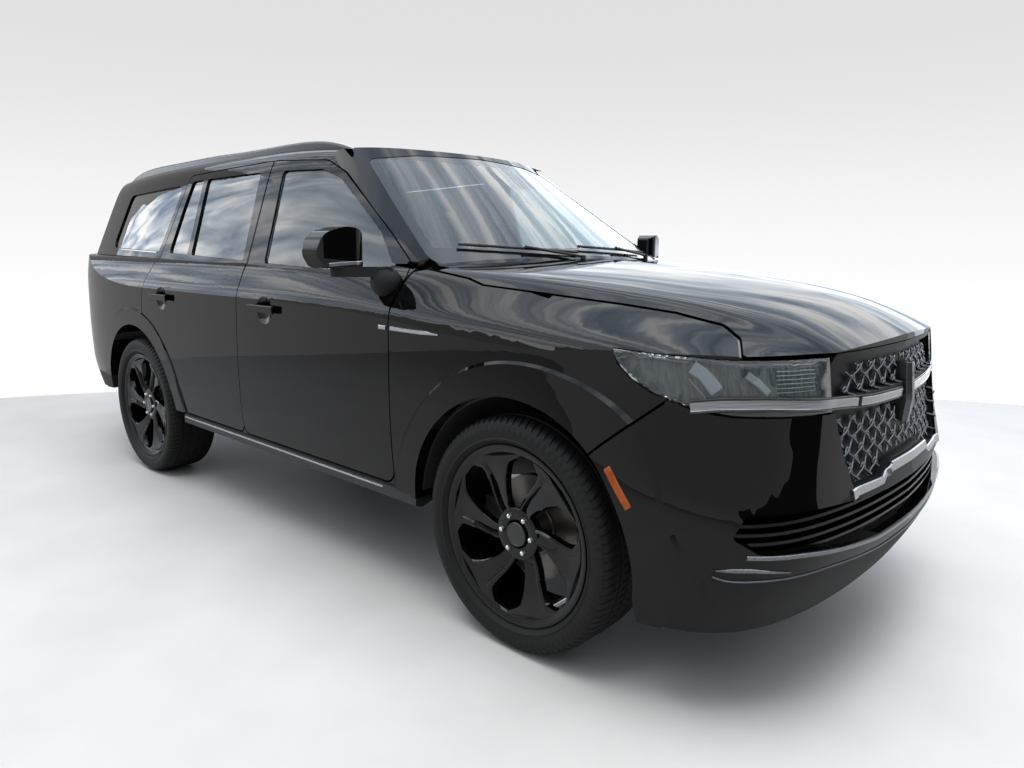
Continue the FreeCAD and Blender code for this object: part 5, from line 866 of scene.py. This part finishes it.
def curl(middle):
    """Small open loop round the middle of a link."""
    loop = []
    for i in range(CURL_STEPS + 1):
        share = i / CURL_STEPS
        turn = math.radians(-150 + 300 * share)
        swirl = CURL_RADIUS * (1 - 0.25 * share)
        loop.append(middle + Vector((CURL_TWIST * math.sin(turn * 0.5), swirl * math.sin(turn),
                                     swirl * 1.05 * math.cos(turn))))
    return loop


lattice = []
for k in range(-14, 15):
    for rise in (1, -1):
        for run in lattice_strand(k * LATTICE_WIDE, rise):
            lattice.append(tube(run, *STRAND_RADII, AHEAD))
for row in range(15):
    z = LATTICE_FOOT + row * LATTICE_HIGH / 2
    for k in range(-10, 11):
        y = (k + 0.5 * (row % 2)) * LATTICE_WIDE
        middle = grille_point(y, z, CURL_STAND)
        if middle is not None and inside(GRILLE_FIELD, y, z, CURL_MARGIN):
            lattice.append(tube(curl(middle), *CURL_RADII, AHEAD))
# Smoked chrome on ABS: a grey mirror, bright along the links and dark between them.
smoked_chrome = surface("smoked_chrome_on_abs", "#4b4d51", "#66686c", 3.0, (0.14, 0.24), Metallic=1.0)
add_piece("grille_lattice", joined(lattice), smoked_chrome, "body", "dark_chrome")
# The plate behind is moulded in smoked black, dull enough for the lattice to stand out.
finish_nodes(["grille"], surface("smoked_grille_plate", "#08090b", "#0e0f12", 6.0, (0.4, 0.55),
                                 Specular_IOR_Level=0.2))

# Light bar: a ribbed clear acrylic strip over a pale reflector, from corner to corner
# across the lamps and the grille, between two slim gloss black edges.
BAR_LINE = [(2.277, -0.886, 0.950), (2.346, -0.842, 0.960), (2.450, -0.747, 0.962), (2.549, -0.555, 0.948),
            (2.58, -0.30, 0.930), (2.60, -0.06, 0.925)]
BAR_STEPS = 70
BAR_JOINT = 46
BAR_HALF = 0.0150
BAR_SINK = 0.030
FLUTE = 0.0010
EDGE_WIDTH = 0.0055
EDGE_STAND = 0.0078
DEEPEST_BEHIND_LINE = 0.012
LAMP_FAN = 0.9
RAY_BACK = 0.25


def cast(skin, start, way):
    """Point and outward normal where a ray first meets the skin."""
    way = Vector(way).normalized()
    place, normal, _, _ = skin.ray_cast(Vector(start), way)
    if place is None:
        raise ValueError("no surface from %s towards %s" % (tuple(start), tuple(way)))
    if normal.dot(way) > 0:
        normal = -normal
    return place, normal.normalized()


def laid(skin, table, steps, way, fan=0.0):
    """Points and normals of a run of points, dropped onto a skin one way; a fan turns
    the rays outboard of the middle towards it."""
    hits = []
    for point in along(table, steps):
        ray = (Vector(way) - Vector((0, point.y * fan, 0))).normalized()
        hits.append(cast(skin, point - ray * RAY_BACK, ray))
    return [place for place, _ in hits], [normal for _, normal in hits]


def eased(vectors, passes=3):
    """Runs a moving average along a list of vectors, ends kept."""
    for _ in range(passes):
        middle = [(a + b * 2 + c) / 4 for a, b, c in zip(vectors, vectors[1:], vectors[2:])]
        vectors = [vectors[0]] + middle + [vectors[-1]]
    return vectors


def add_pair(name, part, material, body, slot, bevel=0.0):
    """The same piece on the right and, mirrored, on the left; a door's piece rides on its own door."""
    verts, faces = part
    for hand, side in HANDS.items():
        own = [(v[0], v[1] * -side, v[2]) for v in verts]
        add_piece(name + "_" + hand, (own, faces), material, body + "_" + hand if body != "body" else body,
                  slot, bevel)


def ribbed_profile(half, stand):
    """Ribbed section of the light bar: two edges and shallow flutes between them."""
    flutes = [(-half + 2 * half * k / 8, stand - (FLUTE if k % 2 else 0.0)) for k in range(1, 8)]
    return [(-half, -BAR_SINK), (-half, stand * 0.4), (-half + 0.002, stand)] + flutes + [
        (half - 0.002, stand), (half, stand * 0.4), (half, -BAR_SINK)]


lamp_skin = skin_of("headlamps", "grille", "front_bumper", "front_fenders")
points, normals = laid(lamp_skin, BAR_LINE, BAR_STEPS, -AHEAD, LAMP_FAN)
points = eased([Vector((max(p.x, line.x - DEEPEST_BEHIND_LINE), p.y, line.z))
                for p, line in zip(points, along(BAR_LINE, BAR_STEPS))], 6)
normals = [Vector((n.x, n.y, 0)) for n in eased(normals, 12)]
# Clear acrylic over a pale reflector: a light grey strip, its streaks along the ribs painted highlights.
bar_lens = surface("ribbed_light_bar_lens", "#6b6e71", "#96999c", 40.0, (0.08, 0.16), 0.0, (0.2, 0.2, 18.0),
                   Coat_Weight=1.0, Coat_Roughness=0.02, Metallic=0.6)
for name, run, stand in (("outer", slice(0, BAR_JOINT), 0.006), ("inner", slice(BAR_JOINT, None), 0.010)):
    add_pair("light_bar_" + name, sweep(points[run], normals[run], ribbed_profile(BAR_HALF, stand)), bar_lens,
             "body", "lamp_lens")
# Gloss black ABS: two thin dark lines that part the bar from the lamps.
bar_edge = surface("black_gloss_bar_edge", "#0c0c0d", "#131315", 6.0, (0.12, 0.2))
for name, offset in (("upper", 0.0175), ("lower", -0.0180)):
    edge = [p + UP * offset for p in points]
    add_pair("light_bar_edge_" + name,
             sweep(edge, normals, bar_profile(EDGE_WIDTH, EDGE_STAND, BAR_SINK)), bar_edge, "body",
             "gloss_black_trim")

# Grille upright: a plain bevelled bar of satin plated metal at the middle of the
# grille, clipped through the lattice over the light bar.
UPRIGHT_STEPS = 12
UPRIGHT_FOOT = 0.815
UPRIGHT_HEIGHT = 0.205
UPRIGHT_BACK_X = 2.575
UPRIGHT_FRONT_X = 2.632
UPRIGHT_BEVEL = 0.012
UPRIGHT_HALF = 0.026
UPRIGHT_SWELL = 0.006
FOREMOST_STEP = 5
rings = []
for i in range(UPRIGHT_STEPS + 1):
    z = UPRIGHT_FOOT + UPRIGHT_HEIGHT * i / UPRIGHT_STEPS
    half = UPRIGHT_HALF + UPRIGHT_SWELL * math.sin(math.pi * i / UPRIGHT_STEPS)
    front = UPRIGHT_FRONT_X - 0.012 * abs(i - FOREMOST_STEP) / 7
    section = [(UPRIGHT_BACK_X, 1.0), (front - UPRIGHT_BEVEL, 1.0), (front, 0.42)]
    rings.append([Vector((x, -half * share, z)) for x, share in section]
                 + [Vector((x, half * share, z)) for x, share in reversed(section)])
# Satin plating: a soft dark grey metal without sharp reflections.
satin_metal = surface("satin_dark_metal", "#4c4e52", "#5c5e63", 5.0, (0.24, 0.34), Metallic=1.0)
add_piece("grille_upright", skinned(rings), satin_metal, "body", "dark_chrome", bevel=0.0015)

# Head lamps: clear polycarbonate shells over dark smoked housings with two slanted
# silver light guides and rows of thin fins.
WELD = 0.0004
LENS_THICK = 0.003
HOUSING_DEPTH = 0.030
HOUSING_THICK = 0.004
GUIDE_DEPTH = 0.012
SLANTED_FIN_DEPTH = 0.013
LEVEL_FIN_DEPTH = 0.020
LAMP_GUIDES = [([(2.268, -0.870, 1.063), (2.301, -0.854, 1.042), (2.334, -0.841, 0.995)], 0.040),
               ([(2.396, -0.782, 1.044), (2.424, -0.761, 1.019), (2.447, -0.743, 0.991)], 0.022)]


def sheet_piece(name, node, keeps, push, thickness, material, body):
    """Those faces of a CAD node that a test keeps, as a sheet moved along its own normals."""
    work = bmesh.new()
    work.from_mesh(cad[node].data)
    bmesh.ops.delete(work, geom=[face for face in work.faces if not keeps(face)], context="FACES")
    bmesh.ops.remove_doubles(work, verts=work.verts, dist=WELD)
    work.normal_update()
    for vert, move in [(vert, vert.normal * push) for vert in work.verts]:
        vert.co += move
    mesh = bpy.data.meshes.new(name)
    work.to_mesh(mesh)
    work.free()
    mesh.materials.append(material)
    item = new_object(name, mesh)
    skin = item.modifiers.new("thickness", "SOLIDIFY")
    skin.thickness = thickness
    skin.offset = -1.0
    return fasten(item, body)


def faces_ahead(face):
    """True on the outer skin of a head lamp."""
    return face.normal.x > 0.12 and abs(face.normal.z) < 0.86


def lamp_strip(table, steps, depth, profile, ease=0):
    """Bar that follows the lamp's skin at a depth behind it."""
    points, normals = laid(lamp_skin, table, steps, -AHEAD, LAMP_FAN)
    return sweep([p - n * depth for p, n in zip(eased(points, ease), normals)], normals, profile)


# Hard-coated polycarbonate: clear, so that the housing and guides show through it.
lens_shell = sheet_piece("headlamp_lens", "headlamps", faces_ahead, 0.0, LENS_THICK,
                         glazing("clear_polycarbonate", "#c9d1d4"), "body")
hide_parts("headlamps")
# Smoked metallised plastic: blue-grey, with tall soft lighter streaks that are painted reflections of its
# facets.
lamp_dark = surface("smoked_lamp_housing", "#353b40", "#6a737a", 26.0, (0.12, 0.3), 0.0, (1.0, 6.0, 0.6),
                    Coat_Weight=0.5)
sheet_piece("headlamp_housing", "headlamps", faces_ahead, -HOUSING_DEPTH, HOUSING_THICK, lamp_dark, "body")
# Silvered plastic: the brightest parts of the lamp, unlit.
lamp_silver = surface("silvered_light_guide", "#b4b8bb", "#d6d9db", 4.0, (0.2, 0.3), Metallic=0.5)
guides = [lamp_strip(table, 12, GUIDE_DEPTH, bar_profile(width, 0.006, 0.008), 2)
          for table, width in LAMP_GUIDES]
add_pair("headlamp_guides", joined(guides), lamp_silver, "body", "lamp_lens")
fins = []
for k in range(5):
    lean = 0.008 * k
    drop = 0.004 * k
    top = (2.270 + lean * 0.7, -0.884 + lean, 1.030 - lean - drop)
    foot = (2.304 + lean * 0.3, -0.864 + lean * 0.6, 0.985 - lean * 0.3 - drop)
    fins.append(lamp_strip([top, foot], 6, SLANTED_FIN_DEPTH, bar_profile(0.0035, 0.006, 0.008)))
for k in range(6):
    level = 1.052 - 0.012 * k
    fins.append(lamp_strip([(2.47, -0.72, level), (2.54, -0.60, level)], 8, LEVEL_FIN_DEPTH,
                           bar_profile(0.0025, 0.003, 0.004)))
add_pair("headlamp_fins", joined(fins), lamp_silver, "body", "lamp_lens")

# Lower bumper: satin trim round the grille's notch, a bright blade under the intake,
# a lip below it and a spear at each corner, pressed and clipped on.
NOSE_FAN = 0.8
TRIM_SINK = 0.004
NOSE_TIP = cad_box[1][0] - 0.0002
nose_skin = skin_of("front_bumper", "grille")
# Satin anodised aluminium, bright and smoked: soft, clean metal lines.
satin_bright = surface("satin_aluminium_trim", "#8f9195", "#a9abaf", 5.0, (0.2, 0.3), Metallic=1.0)
smoked_bright = surface("smoked_bright_trim", "#5c5e62", "#76787c", 5.0, (0.24, 0.34), Metallic=1.0)


def nose_trim(name, table, steps, width, stand, material, ease=2, scales=None, both_hands=True):
    """Bar laid on the nose along a run of points, kept behind the car's foremost point."""
    points, normals = laid(nose_skin, table, steps, -AHEAD, NOSE_FAN)
    verts, faces = sweep(eased(points, ease), eased(normals, 6), bar_profile(width, stand, TRIM_SINK),
                         scales)
    part = ([Vector((min(v.x, NOSE_TIP), v.y, v.z)) for v in verts], faces)
    (add_pair if both_hands else add_piece)(name, part, material, "body", "dark_chrome")


nose_trim("notch_trim_corner", [(2.6, -0.478, 0.664), (2.62, -0.36, 0.662), (2.63, -0.255, 0.660)], 16,
          0.034, 0.007, satin_bright)
nose_trim("notch_trim_rise", [(2.63, -0.258, 0.662), (2.635, -0.222, 0.680), (2.635, -0.192, 0.697)], 10,
          0.026, 0.007, satin_bright)
nose_trim("notch_trim_middle", [(2.635, -0.196, 0.697), (2.637, 0.0, 0.698), (2.635, 0.196, 0.697)], 24,
          0.034, 0.007, satin_bright, both_hands=False)
nose_trim("lower_blade", [(2.45, -0.862, 0.545), (2.53, -0.70, 0.535), (2.58, -0.55, 0.515),
                          (2.62, -0.30, 0.488), (2.63, 0.0, 0.486)], 60, 0.014, 0.004, smoked_bright, 6)
nose_trim("bumper_lip", [(2.39, -0.918, 0.480), (2.403, -0.905, 0.466), (2.494, -0.834, 0.470),
                         (2.598, -0.584, 0.468), (2.63, -0.25, 0.442), (2.64, 0.0, 0.440)], 60,
          0.006, 0.004, satin_metal, 6)
nose_trim("corner_spear", [(2.40, -0.918, 0.502), (2.475, -0.863, 0.506), (2.547, -0.757, 0.490)], 24,
          0.014, 0.004, smoked_bright, 3, [0.25 + 0.75 * min(1.0, i / 5, (24 - i) / 14) for i in range(25)])

# Side markers: amber acrylic reflectors at the front corners, bonded over the seam
# of bumper and wing.
BESIDE_Y = -1.3
INBOARD = (0, 1, 0)
marker_skin = skin_of("front_bumper", "front_fenders")
marker_line = [(2.072, BESIDE_Y, 0.752), (2.112, BESIDE_Y, 0.700), (2.156, BESIDE_Y, 0.645)]
points, normals = laid(marker_skin, marker_line, 10, INBOARD)
# Unlit amber acrylic: a deep orange-brown under a thin gloss.
marker_amber = surface("amber_acrylic", "#8a3a02", "#b45405", 30.0, (0.2, 0.3), Coat_Weight=0.3,
                       Specular_IOR_Level=0.2)
add_pair("amber_marker", sweep(points, eased(normals, 4), bar_profile(0.024, 0.004, 0.004)), marker_amber,
         "body", "lamp_lens", bevel=0.001)

# Side trim: satin spears over the front wings, bright strips under the quarter
# windows and along the running boards, pressed aluminium bonded on.
side_skin = skin_of("body_shell", "front_fenders", "door_front_right", "quarter_glass", "running_boards")


def side_trim(name, table, steps, width, stand, body="body", scales=None):
    """Strip laid on both sides along a run of (x, z)."""
    points, normals = laid(side_skin, [(x, BESIDE_Y, z) for x, z in table], steps, INBOARD)
    part = sweep(eased(points), eased(normals, 5), bar_profile(width, stand, 0.003), scales)
    add_pair(name, part, satin_bright, body, "dark_chrome")


side_trim("wing_spear", [(1.070, 1.092), (1.340, 1.089)], 20, 0.016, 0.004,
          scales=[min(1.0, 0.35 + 0.1 * (20 - i)) for i in range(21)])
side_trim("door_spear", [(1.000, 1.093), (1.043, 1.092)], 5, 0.016, 0.004, "door_front")
side_trim("quarter_strip", [(-1.842, 1.372), (-1.222, 1.358)], 20, 0.008, 0.003)
side_trim("running_board_strip", [(-0.885, 0.430), (0.945, 0.430)], 30, 0.010, 0.003)

# Door mirrors: silvered glass pressed into the back of each head, and a satin strip
# with the turn signal across its front.
MIRROR_STAND = 0.0012
MIRROR_THICK = 0.0025


def faces_mirror_back(face):
    """True on the flat back of a mirror's head."""
    place = face.calc_center_median()
    return face.normal.x < -0.96 and abs(place.y) > 0.985 and place.z > 1.29


# Silver behind glass: a clean mirror, with hardly any roughness.
mirror_silver = surface("silvered_mirror_glass", "#c9cdd0", "#d3d6d9", 60.0, (0.02, 0.03), Metallic=1.0)
for hand in HANDS:
    sheet_piece("mirror_glass_" + hand, "mirror_" + hand, faces_mirror_back, MIRROR_STAND, MIRROR_THICK,
                mirror_silver, "door_front_" + hand)
strip_line = [(1.4, -1.02, 1.335), (1.4, -1.10, 1.332), (1.4, -1.150, 1.327)]
points, normals = laid(skin_of("mirror_right"), strip_line, 14, -AHEAD)
add_pair("mirror_signal_strip", sweep(eased(points, 2), eased(normals), bar_profile(0.014, 0.003, 0.003)),
         satin_bright, "door_front", "lamp_lens")

# Number plate: a blank pressed aluminium plate in a moulded frame, screwed to the
# drop gate.
PLATE_Z = 0.825
PLATE_HALF_WIDE = 0.152
PLATE_HALF_HIGH = 0.076
PLATE_CORNER = 0.010
CORNERS = ((0, 1, 1), (90, -1, 1), (180, -1, -1), (270, 1, -1))
CORNER_STEPS = 5
BEHIND_X = -3.2
tail_skin = skin_of("tailgate", "liftgate", "liftgate_glass", "rear_bumper")
plate_face = cast(tail_skin, (BEHIND_X, 0.0, PLATE_Z), AHEAD)[0].x


def rounded_ring(half_wide, half_high, radius, x):
    """Rounded rectangle across the car about its own middle, at one distance."""
    ring = []
    for turn, sy, sz in CORNERS:
        for k in range(CORNER_STEPS):
            angle = math.radians(turn + 22.5 * k)
            ring.append(Vector((x, sy * (half_wide - radius) + radius * math.cos(angle),
                                sz * (half_high - radius) + radius * math.sin(angle))))
    return ring


def plate_rings(sections):
    """Rings on the drop gate of (growth beyond the plate's outline, distance ahead of its face)."""
    return [rounded_ring(PLATE_HALF_WIDE + growth, PLATE_HALF_HIGH + growth, PLATE_CORNER,
                         plate_face + ahead) for growth, ahead in sections]


plate_place = (0.0, 0.0, PLATE_Z)
frame_rings = plate_rings([(0.014, 0.020), (0.014, -0.0004), (0.010, -0.0018), (-0.004, -0.0018),
                           (-0.004, 0.020)])
add_piece("rear_plate_frame", moved(skinned(frame_rings, closed=True), plate_place), moulded_black, "tailgate",
          "black_plastic")
blank_rings = plate_rings([(0.0, 0.0040), (0.0, -0.0010), (-0.005, -0.0015), (-0.007, -0.0010)])
# Painted aluminium: an even, soft white.
plate_white = surface("painted_aluminium_plate", "#dcdedd", "#e8e9e8", 40.0, (0.35, 0.45))
add_piece("rear_plate_blank", moved(skinned(blank_rings), plate_place), plate_white, "tailgate",
          "gloss_black_trim")


# Rear reflectors and high stop lamp: moulded red acrylic, clipped into the bumper
# and over the rear window.
def rear_bar(name, table, steps, width, body, both_hands):
    """Red bar laid on the tail along a run of (y, z)."""
    points, normals = laid(tail_skin, [(BEHIND_X, y, z) for y, z in table], steps, AHEAD)
    part = sweep(eased(points), eased(normals, 5), bar_profile(width, 0.003, 0.003))
    (add_pair if both_hands else add_piece)(name, part, rear_red, body, "red_lens")


# Acrylic with fine prisms moulded in its back: a bright red that sparkles a little.
rear_red = surface("red_acrylic_reflector", "#8a0a0c", "#b81215", 3.0, (0.08, 0.2), 0.15, Coat_Weight=0.8)
rear_bar("rear_reflector", [(-0.80, 0.575), (-0.60, 0.570)], 14, 0.026, "body", True)
rear_bar("high_stop_lamp", [(-0.18, 1.808), (0.0, 1.810), (0.18, 1.808)], 14, 0.016, "liftgate", False)

# Tail lamps and liftgate lamp: deep red polycarbonate, moulded smooth and welded to
# their housings. They are glossy, darker than the reflectors, and even in colour.
finish_nodes(["tail_lamps", "liftgate_lamp"],
             surface("red_polycarbonate", "#8c080b", "#b30f12", 40.0, (0.06, 0.12), Coat_Weight=0.5))

# Door cards: soft moulded panels with a padded armrest and a pocket, clipped to the
# inner skin of each door.
CARD_INNER_Y = 0.8845
CARD_LOW_Z = 0.67
CARD_HIGH_Z = 1.22
CARD_STAND = 0.012
ARMREST_Z = 0.955
ARMREST_STAND = 0.034
POCKET_Z = CARD_LOW_Z + 0.13
POCKET_DEPTH = 0.007
CARD_ROWS = 31
CARD_COLUMNS = 41


def backed_grid(rows, columns):
    """Faces of a grid, closed behind by one face round its rim."""
    rim = list(range(columns)) + [i * columns + columns - 1 for i in range(1, rows)]
    rim += [(rows - 1) * columns + j for j in range(columns - 2, -1, -1)]
    rim += [i * columns for i in range(rows - 2, 0, -1)]
    return grid_faces(rows, columns) + [tuple(reversed(rim))]


def edge_fade(u, w, rate):
    """0 at a panel's edges, rising to 1 inside them."""
    return min(1.0, rate * min(u, 1 - u, w, 1 - w)) ** 0.5


def door_card(end, low_x, high_x):
    """Panel that stands inboard of the door's flat inner face, on both sides."""
    verts = []
    for i in range(CARD_ROWS):
        for j in range(CARD_COLUMNS):
            u, w = j / (CARD_COLUMNS - 1), i / (CARD_ROWS - 1)
            z = CARD_LOW_Z + (CARD_HIGH_Z - CARD_LOW_Z) * w
            arm = hump(z, ARMREST_Z, 0.035) * min(1.0, max(0.0, 5 * min(u - 0.12, 0.78 - u)))
            pocket = (math.exp(-((z - POCKET_Z) / 0.05) ** 4)
                      * min(1.0, max(0.0, 7 * min(u - 0.1, 0.9 - u))))
            stand = CARD_STAND * edge_fade(u, w, 8) + ARMREST_STAND * arm - POCKET_DEPTH * pocket
            verts.append(Vector((low_x + (high_x - low_x) * u, -CARD_INNER_Y + max(0.0, stand), z)))
    add_pair(end + "_door_card", (verts, backed_grid(CARD_ROWS, CARD_COLUMNS)), card_skin, "door_" + end,
             "cabin_plastic")


# Slush-moulded skin over foam: a soft brown-black, grained like the seats.
card_skin = surface("soft_moulded_door_card", "#1b1a1a", "#272625", 1.6, (0.5, 0.66), 0.1)
door_card("front", -0.04, 0.95)
door_card("rear", -0.97, -0.22)

# Dash: a foamed skin of grained plastic over a moulded carrier, with a wide driver's
# display under the windscreen's foot and a centre touch screen, both plain dark glass.
SCREEN_CORNER = 0.012
SCREEN_LEAN = Matrix.Rotation(math.radians(14.0), 3, "Y")
SCREEN_STAND = 0.012
finish_nodes(["dashboard"], surface("soft_moulded_dash_skin", "#1a1b1d", "#242628", 1.8, (0.55, 0.7), 0.1))
dash_skin = skin_of("dashboard")


def screen(name, y, z, half_wide, half_high):
    """Thin rounded screen that stands off the dash and leans forward at its top."""
    face = cast(dash_skin, (-0.6, y, z), AHEAD)[0].x
    rings = [rounded_ring(half_wide - shrink, half_high - shrink, SCREEN_CORNER - shrink, depth)
             for depth, shrink in ((0.010, 0.0), (-0.002, 0.0), (-0.005, 0.003))]
    part = moved(skinned(rings), (face - SCREEN_STAND, y, z), SCREEN_LEAN)
    add_piece(name, part, display_glass, "body", "cabin_plastic")


# Coated glass over a switched-off panel: almost black, with a clear reflection.
display_glass = surface("dark_display_glass", "#07080a", "#0d0f12", 80.0, (0.05, 0.09), Coat_Weight=0.6)
screen("centre_screen", 0.0, 1.13, 0.150, 0.085)
screen("driver_display", 0.37, 1.20, 0.170, 0.050)

# Engine cover: one ribbed, crowned shell of moulded polypropylene, pushed onto
# rubber studs over the engine.
COVER_ROWS = 31
COVER_COLUMNS = 25
COVER_INSET = 0.03
COVER_HALF_WIDE = 0.25
COVER_STAND = 0.022
COVER_CROWN = 0.016
COVER_RIB = 0.006
block_low, block_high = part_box("engine_block")
cover = []
for i in range(COVER_ROWS):
    for j in range(COVER_COLUMNS):
        u, w = i / (COVER_ROWS - 1), j / (COVER_COLUMNS - 1)
        ribbed = 4 <= j <= 20 and j % 4 in (0, 1) and 4 < i < 26
        rise = COVER_STAND + COVER_CROWN * math.sin(math.pi * w) + (COVER_RIB if ribbed else 0.0)
        length = block_high[0] - block_low[0] - 2 * COVER_INSET
        cover.append(Vector((block_low[0] + COVER_INSET + length * u, COVER_HALF_WIDE * (2 * w - 1),
                             block_high[2] + 0.001 + edge_fade(u, w, 10) * rise)))
add_piece("engine_cover", (cover, backed_grid(COVER_ROWS, COVER_COLUMNS)), moulded_black, "body",
          "black_plastic")

# Chassis: a welded steel frame under a satin black dip coat, even and half dull. The
# knuckles and arms are sand-cast iron: a rough, dark, slightly warm grey.
finish_nodes(["frame_rails", "cross_members"],
             surface("satin_chassis_coating", "#131313", "#1c1c1c", 12.0, (0.45, 0.6), 0.05))
finish_nodes(["front_suspension", "rear_suspension"] + ["knuckle_front_" + hand for hand in HANDS],
             surface("cast_iron", "#343332", "#474543", 3.0, (0.55, 0.7), 0.2, Metallic=0.7))

# Driveline, engine and exhaust: housings die-cast in aluminium, left bare, with a
# pale matt skin; and welded stainless pipes, dulled to a brownish grey by heat.
finish_nodes(["engine_block", "driveline"],
             surface("cast_aluminium", "#7d7e80", "#97989a", 2.5, (0.42, 0.58), 0.15, Metallic=1.0))
finish_nodes(["exhaust"],
             surface("dull_stainless_steel", "#6a665f", "#85817a", 20.0, (0.34, 0.5), Metallic=1.0))

for item in cad.values():
    smooth(item)
